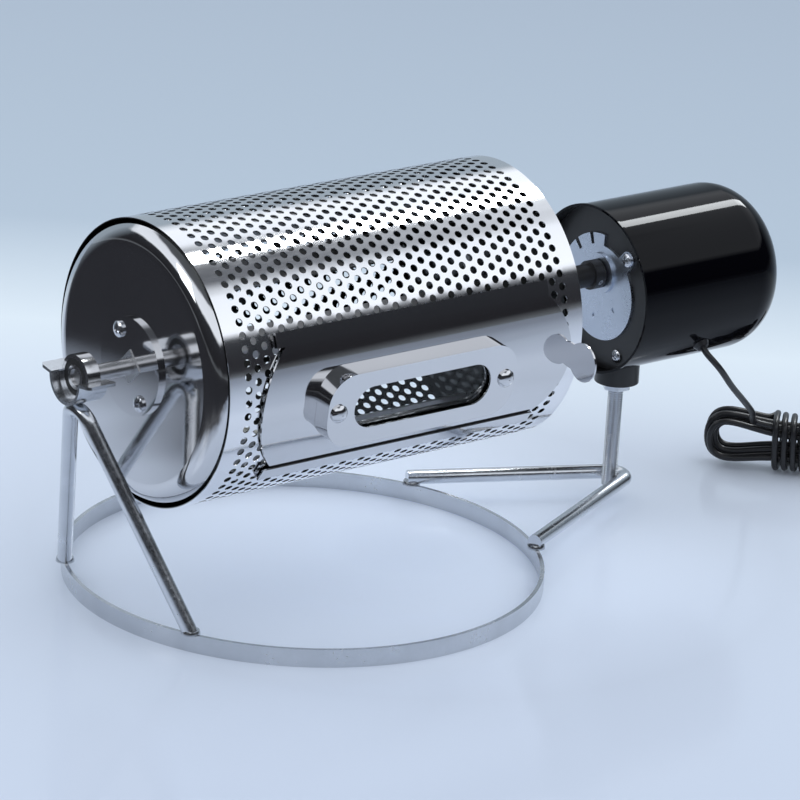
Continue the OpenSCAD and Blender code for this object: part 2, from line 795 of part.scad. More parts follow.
module motor_bracket() {
    lug_r = socket_d / 2 - 1;
    lug_top = gear_z - gear_d / 2 - 1.5;
    color("darkslategray") difference() {
        union() {
            translate([rim_x + plate_x, 0, can_z]) rotate([90, 0, 90]) cylinder(r = can_in_r - fit, h = plate_t);
            intersection() {
                translate([rim_x, 0, can_z - can_in_r]) linear_extrude(lug_top - can_z + can_in_r) {
                    translate([plate_x + plate_t / 2, -lug_r]) square([post_x - plate_x - plate_t / 2, 2 * lug_r]);
                    translate([post_x, 0]) circle(lug_r);
                }
                translate([rim_x + plate_x + plate_t / 2, 0, can_z]) rotate([90, 0, 90])
                    cylinder(r = can_in_r - 0.3, h = can_len / 2);
            }
        }
        on_motor(plate_x - 1) cylinder(d = gear_d + 2 * fit, h = plate_t + 2);
        ear_places(plate_x - 1) cylinder(d = 4 + 2 * fit, h = plate_t + 2, $fn = 32);
        lower_screw_places(plate_x - 1) cylinder(d = 4 + 2 * fit, h = plate_t + 2, $fn = 32);
        translate([rim_x + post_x, 0, 0]) cylinder(d = socket_d * 0.6 + 2 * fit, h = lug_top + 1);
    }
}

// Two more screws near the bottom of the bracket
module lower_screw_places(x) {
    for (side = [-1, 1]) translate([rim_x + x, side * 15.5, can_z - 33]) rotate([90, 0, 90]) children();
}

module bracket_screws() {
    color("silver") {
        ear_places(motor_face_x) rotate([180, 0, 0]) pan_screw(7, 2.2, 4, face_t + plate_t + 1);
        lower_screw_places(plate_x) rotate([180, 0, 0]) pan_screw(7, 2.2, 4, plate_t + 1);
    }
}

// Black collar under the can: its spigot goes up through the can into the bracket, and the post
// screws into it from below
module post_socket() {
    top = gear_z - gear_d / 2 - 2.5;
    color("dimgray") difference() {
        union() {
            difference() {
                translate([rim_x + post_x, 0, socket_bottom]) cylinder(d = socket_d, h = socket_drop + 6);
                translate([rim_x + can_x, 0, can_z]) rotate([90, 0, 90]) cylinder(d = can_d + 2 * fit, h = can_len);
            }
            translate([rim_x + post_x, 0, socket_bottom]) cylinder(d = socket_d * 0.6, h = top - socket_bottom);
        }
        translate([rim_x + post_x, 0, socket_bottom - 1]) cylinder(d = post_d + 2 * fit, h = post_grip + 1.5);
    }
}

module motor_can() {
    color([0.12, 0.12, 0.13]) difference() {
        translate([rim_x + can_x, 0, can_z]) rotate([90, 0, 90]) rotate_extrude() intersection() {
            difference() {
                union() {
                    cup_side_2d(can_d / 2, can_corner, can_len);
                    translate([can_d / 2 - can_t, 0]) square([can_t + 0.5, 1.4]);
                }
                translate([0, -can_t]) cup_side_2d(can_in_r, can_corner - can_t, can_len);
            }
            square([can_d, can_len]);
        }
        translate([rim_x + post_x, 0, 0]) cylinder(d = socket_d * 0.6 + 2 * fit, h = can_z);
        exit_place(can_in_r - 3) cylinder(d = 7 + 2 * fit, h = 8, $fn = 48);
    }
}

// ---------- cord ----------

module exit_place(r) {
    translate([rim_x + exit_x, 0, can_z]) rotate([90, 0, 90]) rotate([0, 0, exit_dir]) translate([r, 0, 0])
        rotate([0, 90, 0]) children();
}

module cord_grommet() {
    color("black") difference() {
        union() {
            exit_place(can_in_r - 2) cylinder(d = 7, h = can_t + 2 + eps, $fn = 48);
            exit_place(can_d / 2) cylinder(d1 = 8.6, d2 = 6, h = grommet_rise, $fn = 48);
        }
        translate([rim_x + exit_x - 10, 0, can_z]) rotate([90, 0, 90]) difference() {
            cylinder(d = can_d - 2 * can_t - 3.2, h = 20);
            cylinder(d = 1, h = 0.1);
        }
    }
}

function unit(v) = v / norm(v);

function directions(p) = [for (i = [0:len(p) - 1]) unit(p[min(i + 1, len(p) - 1)] - p[max(i - 1, 0)])];

// A side vector for each ring of a tube, carried along without twist
function sides_of(t) = [for (i = 0, n = unit(cross(t[0], abs(t[0][2]) > 0.9 ? [1, 0, 0] : [0, 0, 1]));
    i < len(t);
    i = i + 1, n = i < len(t) ? unit(n - (n * t[i]) * t[i]) : n) n];

// One unbroken tube along a list of points, with flat ends
module tube(path, d, sides) {
    t = directions(path);
    n = sides_of(t);
    rings = len(path);
    points = [for (i = [0:rings - 1], j = [0:sides - 1])
        path[i] + d / 2 * (cos(j * 360 / sides) * n[i] + sin(j * 360 / sides) * cross(t[i], n[i]))];
    walls = [for (i = [0:rings - 2], j = [0:sides - 1], half = [0, 1])
        let (a = i * sides + j, b = i * sides + (j + 1) % sides, c = a + sides, e = b + sides)
        half == 0 ? [a, c, b] : [b, c, e]];
    first = [for (j = [1:sides - 2]) [0, j, j + 1]];
    last = [for (j = [1:sides - 2]) [(rings - 1) * sides, (rings - 1) * sides + j + 1, (rings - 1) * sides + j]];
    polyhedron(points, concat(walls, first, last));
}

// Smooth curve through hand-chosen points, with extra rings between them
function smooth(p, between) = concat([for (i = [0:len(p) - 2], s = [0:between - 1])
    let (u = s / between, a = p[max(i - 1, 0)], b = p[i], c = p[i + 1], e = p[min(i + 2, len(p) - 1)])
    0.5 * (2 * b + (c - a) * u + (2 * a - 5 * b + 4 * c - e) * u * u + (3 * b - a - 3 * c + e) * u * u * u)],
    [p[len(p) - 1]]);

// least distance between a path's own strands, apart from neighbours along it
function least_gap(p, d, skip) = min([for (i = [0:len(p) - 1 - skip], j = [i + skip:len(p) - 1]) norm(p[i] - p[j])]) - d;

// The hank stands on edge on the table. Its length runs along its local X, its loops open in
// local Y, which is up, and its layers are piled along local Z, which points away behind it.
hank_turn = -48;
hank_mid = [412, -17];
hank_gap = 0.6;
strand = cord_d + hank_gap;
turns_a_layer = 1.5;
waist_step = strand * 1.1;
waist_in = strand * 0.56;
bow = 9.5;
bow_step = 1.6;
start_turn = 112;
loop_rings = 24;
layers = hank_loops / turns_a_layer;
first_peak = (start_turn - 90) / 360;
waist_out = waist_in + turns_a_layer * waist_step;

// how many steps inwards a strand lies, and in which layer, after u turns
function steps_in(u) = let (v = max(u - first_peak, 0) / turns_a_layer, w = v % 2) turns_a_layer * (w < 1 ? w : 2 - w);
function ramp(u) = let (s = max(0, min(1, u + 0.5))) s * s * (3 - 2 * s);
function layer_of(u) = layers < 2 ? 0 : [for (i = [1:layers - 1]) ramp((u - first_peak - i * turns_a_layer) * 2)] *
    [for (i = [1:layers - 1]) 1];
function bowed(s, w, b) = s * w + 4 * b * s * (1 - s);
function loop_point(u) = let (
    a = start_turn - 360 * u, k = steps_in(u), s = abs(sin(a)),
    w = waist_in + (turns_a_layer - k) * waist_step)
    [(hank_half - k * strand) * cos(a), bowed(s, w, bow - bow_step * k) * sign(sin(a)),
        (layer_of(u) - (layers - 1) / 2) * strand];
hank_path = [for (i = [0:hank_loops * loop_rings]) loop_point(i / loop_rings)];
hank_last = hank_path[len(hank_path) - 1];

// The binding goes on from the hank's own end: an oval helix round the waist, one strand outside
// the loops, and it ends underneath on its way to the back.
bind_depth = (layers - 1) / 2 * strand + strand;
bind_step = strand * 1.2;
bind_from = 48;
bind_x = hank_last[0] + 9;
bind_end = bind_turns - 1 + (bind_from + 180) / 360;
bind_rings = 20;
bind_room = 0.7;
function outside(x) = bowed(sqrt(1 - pow(x / hank_half, 2)), waist_out, bow) + strand;
function bind_at(u) = bind_x + (u - 0.3) * bind_step * (u < 0.3 ? 0.6 : 1);
function squarish(v) = sign(v) * sqrt(abs(v));
function oval(u) = let (x = bind_at(u), a = bind_from - 360 * u)
    [x, (outside(x) + bind_room) * squarish(cos(a)), (bind_depth + bind_room) * squarish(sin(a))];
bind_path = concat([hank_last, hank_last + [cord_d, 0, 0]],
    smooth([hank_last + [cord_d + 1, 0, 0], oval(0), oval(1 / bind_rings)], 2),
    [for (i = [2:bind_end * bind_rings]) oval(i / bind_rings)]);

hank_rise = max(bowed(0.5 + waist_out / 8 / bow, waist_out, bow), outside(bind_at(bind_end)) + bind_room) + cord_r + 0.3;
function on_table(p) = [rim_x + hank_mid[0] + p[0] * cos(hank_turn) - p[2] * sin(hank_turn),
    hank_mid[1] + p[0] * sin(hank_turn) + p[2] * cos(hank_turn), hank_rise + p[1]];
function all_on_table(path) = [for (p = path) on_table(p)];

// the free stretch, from the grommet to the hank
cord_goal = on_table(hank_path[0]);
cord_way = unit(cord_goal - on_table(hank_path[1]));
cord_route = [[331, -43, 80], [342, -41, 68], [356, -36, 56], [370, -28, 45], [382, -16, 36]];
cord_path = concat([exit_point], smooth(concat([exit_point + cord_d * exit_way],
    [for (p = cord_route) p + [rim_x, 0, 0]], [cord_goal + cord_d * cord_way]), 5), [cord_goal]);

// the tail, from under the hank to the plug
tail_from = on_table(bind_path[len(bind_path) - 1]);
tail_way = unit(tail_from - on_table(bind_path[len(bind_path) - 2]));
plug_turn = -20;
plug_at = [rim_x + 478, 12, 9];
plug_way = [cos(plug_turn), sin(plug_turn), 0];
tail_route = [[428, -12, 2.6], [437, 0, 3], [446, 11, 3.4], [459, 17, 4.5]];
tail_path = concat([tail_from], smooth(concat([tail_from + cord_d * tail_way],
    [for (p = tail_route) p + [rim_x, 0, 0]], [plug_at - cord_d * plug_way]), 5), [plug_at]);

echo(hank_least_gap = least_gap(hank_path, cord_d, 9));
echo(bind_least_gap = least_gap(bind_path, cord_d, 9));
echo(cross_gap = min([for (p = bind_path, i = [0:len(hank_path) - 8]) norm(p - hank_path[i])]) - cord_d);
echo(cord_to_hank = min([for (i = [0:len(cord_path) - 4], p = all_on_table(hank_path)) norm(cord_path[i] - p)]) - cord_d);
echo(tail_to_hank = min([for (i = [4:len(tail_path) - 1], p = all_on_table(hank_path)) norm(tail_path[i] - p)]) - cord_d);
echo(tail_to_bind = min([for (i = [4:len(tail_path) - 1], p = all_on_table(bind_path)) norm(tail_path[i] - p)]) - cord_d);

module power_cord() { color([0.1, 0.1, 0.1]) tube(cord_path, cord_d, 8); }

module cord_hank() { color([0.1, 0.1, 0.1]) tube(all_on_table(hank_path), cord_d, 6); }

module cord_binding() { color([0.1, 0.1, 0.1]) tube(all_on_table(bind_path), cord_d, 6); }

module cord_tail() { color([0.1, 0.1, 0.1]) tube(tail_path, cord_d, 8); }

// Local X points from the cord through the plug to its blades
module on_plug() {
    translate(plug_at) rotate([0, 0, plug_turn]) children();
}

module power_plug() {
    color([0.1, 0.1, 0.1]) on_plug() {
        rotate([0, 90, 0]) cylinder(d = 6.4, h = 14, $fn = 48);
        for (x = [3, 6, 9]) translate([x, 0, 0]) rotate([0, 90, 0]) cylinder(d = 8, h = 1.4, $fn = 48);
        translate([12, 0, -8]) linear_extrude(16) polygon([[0, -6], [5, -10], [20, -11.5], [24, -11.5],
            [24, 11.5], [20, 11.5], [5, 10], [0, 6]]);
        translate([33, 0, -8.5]) linear_extrude(17) round_rect(0, 4, 12.5, 1.5);
    }
}

module plug_pins() {
    color("gold") on_plug() for (y = [-6.35, 6.35]) difference() {
        translate([37, y - 0.75, -3.15]) cube([17, 1.5, 6.3]);
        translate([49.5, y - 1, 0]) rotate([-90, 0, 0]) cylinder(d = 3.2, h = 2, $fn = 32);
    }
}

// ---------- drawing ----------

base_ring();
front_legs();
bearing_cradle();
rear_brace();
rear_post();
post_nut();
bearing_outer_race();
bearing_seals();
bearing_balls();
bearing_cage();
bearing_inner_race();
drum_axle();
front_cap();
rear_cap();
front_hub_flange();
rear_hub_flange();
front_hub_screws();
rear_hub_screws();
hub_nuts();
drum_sheet();
upper_rail();
lower_rail();
lifting_vane_1();
lifting_vane_2();
lifting_vane_3();
door_plate();
window_frame();
window_glass();
window_gasket();
glass_clip();
window_rivets();
shaft_coupling();
grub_screw();
output_shaft();
gear_motor();
motor_bracket();
bracket_screws();
post_socket();
motor_can();
cord_grommet();
power_cord();
cord_hank();
cord_binding();
cord_tail();
power_plug();
plug_pins();
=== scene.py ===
import math

import bpy
import numpy as np
from mathutils import Matrix, Vector
from mathutils.geometry import delaunay_2d_cdt


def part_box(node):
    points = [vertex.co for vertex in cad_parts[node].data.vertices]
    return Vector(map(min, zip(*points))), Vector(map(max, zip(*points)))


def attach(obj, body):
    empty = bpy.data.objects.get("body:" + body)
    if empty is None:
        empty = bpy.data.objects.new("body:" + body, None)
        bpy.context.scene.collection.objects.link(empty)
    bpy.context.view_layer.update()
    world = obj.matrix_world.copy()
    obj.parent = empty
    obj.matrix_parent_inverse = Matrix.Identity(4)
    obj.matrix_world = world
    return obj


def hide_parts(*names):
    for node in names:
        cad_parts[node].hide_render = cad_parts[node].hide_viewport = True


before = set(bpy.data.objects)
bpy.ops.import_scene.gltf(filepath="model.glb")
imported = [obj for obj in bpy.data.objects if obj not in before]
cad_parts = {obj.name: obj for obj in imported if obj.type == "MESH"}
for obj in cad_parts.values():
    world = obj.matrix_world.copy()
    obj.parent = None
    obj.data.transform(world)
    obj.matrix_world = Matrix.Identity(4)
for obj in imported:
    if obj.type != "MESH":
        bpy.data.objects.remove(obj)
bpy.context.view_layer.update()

# ---------------------------------------------------------------------------
# Camera. A long lens from the left and a little above, turned a few degrees
# about its own line of sight as the photographer held it.
# ---------------------------------------------------------------------------
AZIMUTH, ELEVATION, ROLL = math.radians(-38.849), math.radians(19.831), math.radians(3.263)
FOCAL_PX, PHOTO_PX, SENSOR_MM, DISTANCE = 4599.9, 800.0, 36.0, 2.2832
AIM = Vector((-0.00959, 0.0, 0.08063))
sight = Vector((-math.sin(AZIMUTH) * math.cos(ELEVATION), math.cos(AZIMUTH) * math.cos(ELEVATION),
                -math.sin(ELEVATION)))
level = Vector((math.cos(AZIMUTH), math.sin(AZIMUTH), 0.0))
upward = level.cross(sight)
right = math.cos(ROLL) * level + math.sin(ROLL) * upward
up = math.cos(ROLL) * upward - math.sin(ROLL) * level
lens = bpy.data.cameras.new("studio_camera")
lens.sensor_width = SENSOR_MM
lens.lens = FOCAL_PX * SENSOR_MM / PHOTO_PX
lens.clip_start, lens.clip_end = 0.05, 50.0
camera = bpy.data.objects.new("studio_camera", lens)
turned_to_aim = Matrix((right, up, -sight)).transposed().to_4x4()
camera.matrix_world = Matrix.Translation(AIM - sight * DISTANCE) @ turned_to_aim
bpy.context.scene.collection.objects.link(camera)
bpy.context.scene.camera = camera


# ---------------------------------------------------------------------------
# Mains cord. A round black vinyl lead runs from a bushing in the motor can to
# the table, lies there folded in a hank on edge, binds its own waist in four
# turns, and ends in a moulded two-pin plug.
# ---------------------------------------------------------------------------
def node(tree, kind, into=None, **settings):
    """A node with its settings, and its inputs given by name or number."""
    made = tree.nodes.new(kind)
    for key, value in settings.items():
        setattr(made, key, value)
    for key, value in (into or {}).items():
        if isinstance(value, bpy.types.NodeSocket):
            tree.links.new(value, made.inputs[key])
        else:
            made.inputs[key].default_value = value
    return made


def group(name, inputs, outputs, kind="ShaderNodeTree"):
    """An empty node group with named sockets: returns the tree, its input node and its output node."""
    tree = bpy.data.node_groups.new(name, kind)
    for label, socket, value in inputs:
        made = tree.interface.new_socket(label, in_out="INPUT", socket_type=socket)
        if value is not None:
            made.default_value = value
    for label, socket in outputs:
        tree.interface.new_socket(label, in_out="OUTPUT", socket_type=socket)
    return tree, tree.nodes.new("NodeGroupInput"), tree.nodes.new("NodeGroupOutput")


def add_surface_group():
    """Cloudy patches and fine scratches: a tone, a roughness and a height, all from Object coordinates."""
    tree, given, out = group("handled_surface", [
        ("Colour", "NodeSocketColor", (0.8, 0.8, 0.8, 1.0)), ("Tone", "NodeSocketFloat", 0.1),
        ("Roughness", "NodeSocketFloat", 0.2), ("Spread", "NodeSocketFloat", 0.05),
        ("Patch", "NodeSocketFloat", 40.0), ("Grain", "NodeSocketVector", (900.0, 900.0, 900.0))],
        [("Colour", "NodeSocketColor"), ("Roughness", "NodeSocketFloat"), ("Height", "NodeSocketFloat")])
    place = node(tree, "ShaderNodeTexCoord").outputs["Object"]
    cloud = node(tree, "ShaderNodeTexNoise", {"Vector": place, "Scale": given.outputs["Patch"],
                                              "Detail": 3.0})
    stretched = node(tree, "ShaderNodeVectorMath", {0: place, 1: given.outputs["Grain"]},
                     operation="MULTIPLY")
    grain = node(tree, "ShaderNodeTexNoise", {"Vector": stretched.outputs[0], "Scale": 1.0, "Detail": 2.0})
    offset = node(tree, "ShaderNodeMath", {0: cloud.outputs["Fac"], 1: 0.5}, operation="SUBTRACT")
    shade = node(tree, "ShaderNodeMath", {0: offset.outputs[0], 1: given.outputs["Tone"], 2: 1.0},
                 operation="MULTIPLY_ADD")
    tint = node(tree, "ShaderNodeVectorMath", {0: given.outputs["Colour"], "Scale": shade.outputs[0]},
                operation="SCALE")
    both = node(tree, "ShaderNodeMath", {0: grain.outputs["Fac"], 1: cloud.outputs["Fac"]}, operation="ADD")
    rest = node(tree, "ShaderNodeMath", {0: both.outputs[0], 1: 1.0}, operation="SUBTRACT")
    rough = node(tree, "ShaderNodeMath", {0: rest.outputs[0], 1: given.outputs["Spread"],
                                          2: given.outputs["Roughness"]},
                 operation="MULTIPLY_ADD", use_clamp=True)
    tree.links.new(tint.outputs[0], out.inputs["Colour"])
    tree.links.new(rough.outputs[0], out.inputs["Roughness"])
    tree.links.new(grain.outputs["Fac"], out.inputs["Height"])
    return tree


surface_group = add_surface_group()


def finish(name, colour, roughness, metallic=0.0, tone=0.1, spread=0.05, patch=40.0,
           grain=(900.0, 900.0, 900.0), bump=0.02, depth=0.00002, **sockets):
    """A material whose colour and roughness vary over the surface, with a fine relief."""
    made = bpy.data.materials.new(name)
    made.use_nodes = True
    tree = made.node_tree
    shader = tree.nodes["Principled BSDF"]
    wear = node(tree, "ShaderNodeGroup", {}, node_tree=surface_group)
    for key, value in (("Colour", (*colour, 1.0)), ("Tone", tone), ("Roughness", roughness),
                       ("Spread", spread), ("Patch", patch), ("Grain", grain)):
        wear.inputs[key].default_value = value
    relief = node(tree, "ShaderNodeBump", {"Height": wear.outputs["Height"], "Strength": bump,
                                           "Distance": depth})
    tree.links.new(wear.outputs["Colour"], shader.inputs["Base Color"])
    tree.links.new(wear.outputs["Roughness"], shader.inputs["Roughness"])
    tree.links.new(relief.outputs["Normal"], shader.inputs["Normal"])
    shader.inputs["Metallic"].default_value = metallic
    for key, value in sockets.items():
        shader.inputs[key.replace("_", " ")].default_value = value
    return made


def catmull(points, between):
    """The same smooth curve as the solids follow, through given points."""
    out = []
    for i in range(len(points) - 1):
        a, b, c, e = (points[max(i - 1, 0)], points[i], points[i + 1], points[min(i + 2, len(points) - 1)])
        for s in range(between):
            u = s / between
            out.append(0.5 * (2 * b + (c - a) * u + (2 * a - 5 * b + 4 * c - e) * u * u
                              + (3 * b - a - 3 * c + e) * u ** 3))
    return out + [points[-1]]


CORD_D = 3.4
RIM_X, AXIS_Z = -166.25, 127.0
CAN_D, CAN_DROP, GROMMET_RISE = 86.8, 7.6, 2.5
EXIT_X, EXIT_ANGLE = 325.0, math.radians(219.5)
HANK_TURN, HANK_MID, HANK_HALF, HANK_LOOPS = math.radians(-48), (412.0, -17.0), 48.0, 6
STRAND = CORD_D + 0.6
LAYER_TURNS, WAIST_STEP, WAIST_IN = 1.5, 1.1 * STRAND, 0.56 * STRAND
BOW, BOW_STEP, START_TURN, LOOP_RINGS = 9.5, 1.6, 112.0, 24
FREE_STEPS, LEAD_STEPS, FINER_STEPS, SMOOTHING_PASSES = 5, 2, 3, 16
LAYERS = HANK_LOOPS / LAYER_TURNS
FIRST_PEAK = (START_TURN - 90) / 360
WAIST_OUT = WAIST_IN + LAYER_TURNS * WAIST_STEP


def sind(angle):
    return math.sin(math.radians(angle))


def cosd(angle):
    return math.cos(math.radians(angle))


def steps_in(u):
    """Strands in from the outer loop after u loops: in and out again, layer by layer."""
    w = max(u - FIRST_PEAK, 0) / LAYER_TURNS % 2
    return LAYER_TURNS * (w if w < 1 else 2 - w)


def layer_of(u):
    """The layer after u loops, with a smooth climb where the spiral reverses."""
    total = 0.0
    for i in range(1, int(LAYERS)):
        s = max(0.0, min(1.0, (u - FIRST_PEAK - i * LAYER_TURNS) * 2 + 0.5))
        total += s * s * (3 - 2 * s)
    return total


def bowed(s, w, b):
    """Half the width of a loop that is w wide at its waist and bows out by b beside it."""
    return s * w + 4 * b * s * (1 - s)


def loop_point(u):
    """A point of the hank after u loops, before it is stood on its edge."""
    a, k = START_TURN - 360 * u, steps_in(u)
    s, w = abs(sind(a)), WAIST_IN + (LAYER_TURNS - k) * WAIST_STEP
    y = bowed(s, w, BOW - BOW_STEP * k) * (1 if sind(a) > 0 else -1)
    return Vector(((HANK_HALF - k * STRAND) * cosd(a), y, (layer_of(u) - (LAYERS - 1) / 2) * STRAND))


hank = [loop_point(i / LOOP_RINGS) for i in range(HANK_LOOPS * LOOP_RINGS + 1)]
BIND_TURNS, BIND_DEPTH, BIND_STEP, BIND_FROM = 4, (LAYERS - 1) / 2 * STRAND + STRAND, 1.2 * STRAND, 48.0
BIND_AHEAD, BIND_RINGS, BIND_ROOM = 9, 20, 0.7
EASY_START, START_PACE = 0.3, 0.6
BIND_X = hank[-1].x + BIND_AHEAD
BIND_END = BIND_TURNS - 1 + (BIND_FROM + 180) / 360


def outside(x):
    """Half the hank's height at x, out to the middle of a lead that lies on it."""
    return bowed(math.sqrt(1 - (x / HANK_HALF) ** 2), WAIST_OUT, BOW) + STRAND


def bind_at(u):
    """How far along the hank the binding has come after u turns, slower at its start."""
    return BIND_X + (u - EASY_START) * BIND_STEP * (START_PACE if u < EASY_START else 1)


def squarish(v):
    """Fills out a circle's sine or cosine towards a square with round corners."""
    return math.copysign(math.sqrt(abs(v)), v)


def oval(u):
    """A point of the binding after u turns."""
    x, a = bind_at(u), BIND_FROM - 360 * u
    wide, deep = outside(x) + BIND_ROOM, BIND_DEPTH + BIND_ROOM
    return Vector((x, wide * squarish(cosd(a)), deep * squarish(sind(a))))


lead = hank[-1]
binding = [lead, lead + Vector((CORD_D, 0, 0))]
binding += catmull([lead + Vector((CORD_D + 1, 0, 0)), oval(0), oval(1 / BIND_RINGS)], LEAD_STEPS)
binding += [oval(i / BIND_RINGS) for i in range(2, int(BIND_END * BIND_RINGS) + 1)]
WIDEST = 0.5 + WAIST_OUT / 8 / BOW
TABLE_GAP = 0.3
HANK_RISE = max(bowed(WIDEST, WAIST_OUT, BOW), outside(bind_at(BIND_END)) + BIND_ROOM)
HANK_RISE += CORD_D / 2 + TABLE_GAP


def on_table(p):
    """Stands a point of the hank on the table, in millimetres."""
    c, s = math.cos(HANK_TURN), math.sin(HANK_TURN)
    return Vector((RIM_X + HANK_MID[0] + p.x * c - p.z * s, HANK_MID[1] + p.x * s + p.z * c, HANK_RISE + p.y))


hank = [on_table(p) for p in hank]
binding = [on_table(p) for p in binding]
exit_way = Vector((0, math.cos(EXIT_ANGLE), math.sin(EXIT_ANGLE)))
exit_point = Vector((RIM_X + EXIT_X, 0, AXIS_Z - CAN_DROP)) + (CAN_D / 2 + GROMMET_RISE) * exit_way
arrive = (hank[0] - hank[1]).normalized()
ROUTE = [(331, -43, 80), (342, -41, 68), (356, -36, 56), (370, -28, 45), (382, -16, 36)]
first = [exit_point + CORD_D * exit_way] + [Vector((RIM_X + x, y, z)) for x, y, z in ROUTE]
first = [exit_point] + catmull(first + [hank[0] + CORD_D * arrive], FREE_STEPS)
leave = (binding[-1] - binding[-2]).normalized()
PLUG_TURN, PLUG_PLACE = math.radians(-20), (478, 12, 9)
plug_at = Vector((RIM_X, 0, 0)) + Vector(PLUG_PLACE)
plug_way = Vector((math.cos(PLUG_TURN), math.sin(PLUG_TURN), 0))
TAIL = [(428, -12, 2.6), (437, 0, 3), (446, 11, 3.4), (459, 17, 4.5)]
tail = [binding[-1] + CORD_D * leave] + [Vector((RIM_X + x, y, z)) for x, y, z in TAIL]
tail = catmull(tail + [plug_at - CORD_D * plug_way], FREE_STEPS) + [plug_at]
route = catmull([p * 0.001 for p in first + hank + binding[1:] + tail], FINER_STEPS)
for _ in range(SMOOTHING_PASSES):
    route[2:-2] = [(a + 2 * b + c) / 4 for a, b, c in zip(route[1:-3], route[2:-2], route[3:-1])]


def link(obj):
    bpy.context.scene.collection.objects.link(obj)
    return obj


def curve_piece(name, points, radius, material, smooth_bevel=4):
    """A round cord as one open spline."""
    data = bpy.data.curves.new(name, "CURVE")
    data.dimensions, data.bevel_depth, data.bevel_resolution = "3D", radius, smooth_bevel
    data.use_fill_caps = True
    line = data.splines.new("POLY")
    line.points.add(len(points) - 1)
    for p, q in zip(line.points, points):
        p.co = (*q, 1.0)
    line.use_smooth = True
    data.materials.append(material)
    return link(bpy.data.objects.new(name, data))


vinyl = finish("black_vinyl", (0.012, 0.012, 0.014), 0.34, tone=0.3, spread=0.12, patch=120.0,
               grain=(1400.0, 1400.0, 1400.0), bump=0.25, depth=0.00003, Specular_IOR_Level=0.5)
mains_cord = curve_piece("mains_cord", route, CORD_D / 2000, vinyl)
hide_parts("power_cord", "cord_hank", "cord_binding", "cord_tail")
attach(mains_cord, "stand")


# ---------------------------------------------------------------------------
# Plug. The vinyl of the cord moulded round two brass blades, and the bushing
# of the same black vinyl where the cord leaves the can.
# ---------------------------------------------------------------------------
def dress(material, *names):
    """Gives carried-over solids a material."""
    for name in names:
        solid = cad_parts[name]
        solid.data.materials.clear()
        solid.data.materials.append(material)


dress(vinyl, "power_plug", "cord_grommet")
pin_brass = finish("pin_brass", (0.78, 0.6, 0.3), 0.25, metallic=1.0)
dress(pin_brass, "plug_pins")

# ---------------------------------------------------------------------------
# Stand. A flat strip rolled on edge into a ring, with two rods bent into a V
# and welded on it, all bright zinc plated after welding.
# ---------------------------------------------------------------------------
zinc = finish("bright_zinc", (0.62, 0.64, 0.67), 0.22, metallic=1.0, tone=0.3, spread=0.2, patch=70.0,
              grain=(500.0, 500.0, 500.0), bump=0.25, depth=0.00005)
dress(zinc, "base_ring", "front_legs", "rear_brace", "post_nut", "bearing_cradle")


# ---------------------------------------------------------------------------
# Post. An M8 rod, threaded over its whole length, that stands on the brace's
# bend and screws up into the socket under the can.
# ---------------------------------------------------------------------------
def grown(name, tree, base=None, inputs=None):
    """Runs a geometry tree and keeps what it makes as a plain mesh."""
    host = link(bpy.data.objects.new(name + "_host", base or bpy.data.meshes.new(name + "_host")))
    made = host.modifiers.new("grow", "NODES")
    made.node_group = tree
    for item in tree.interface.items_tree:
        if item.item_type == "SOCKET" and item.in_out == "INPUT" and item.name in (inputs or {}):
            made[item.identifier] = inputs[item.name]
    bpy.context.view_layer.update()
    data = bpy.data.meshes.new_from_object(host.evaluated_get(bpy.context.evaluated_depsgraph_get()))
    data.name = name
    host.modifiers.clear()
    bpy.data.objects.remove(host)
    return link(bpy.data.objects.new(name, data))


POST_PITCH, THREAD_DEPTH, POST_SIDES, RINGS_PER_TURN = 0.00125, 0.0007, 28, 8
CREST_ENDS, ROOT_STARTS = 0.08, 0.42


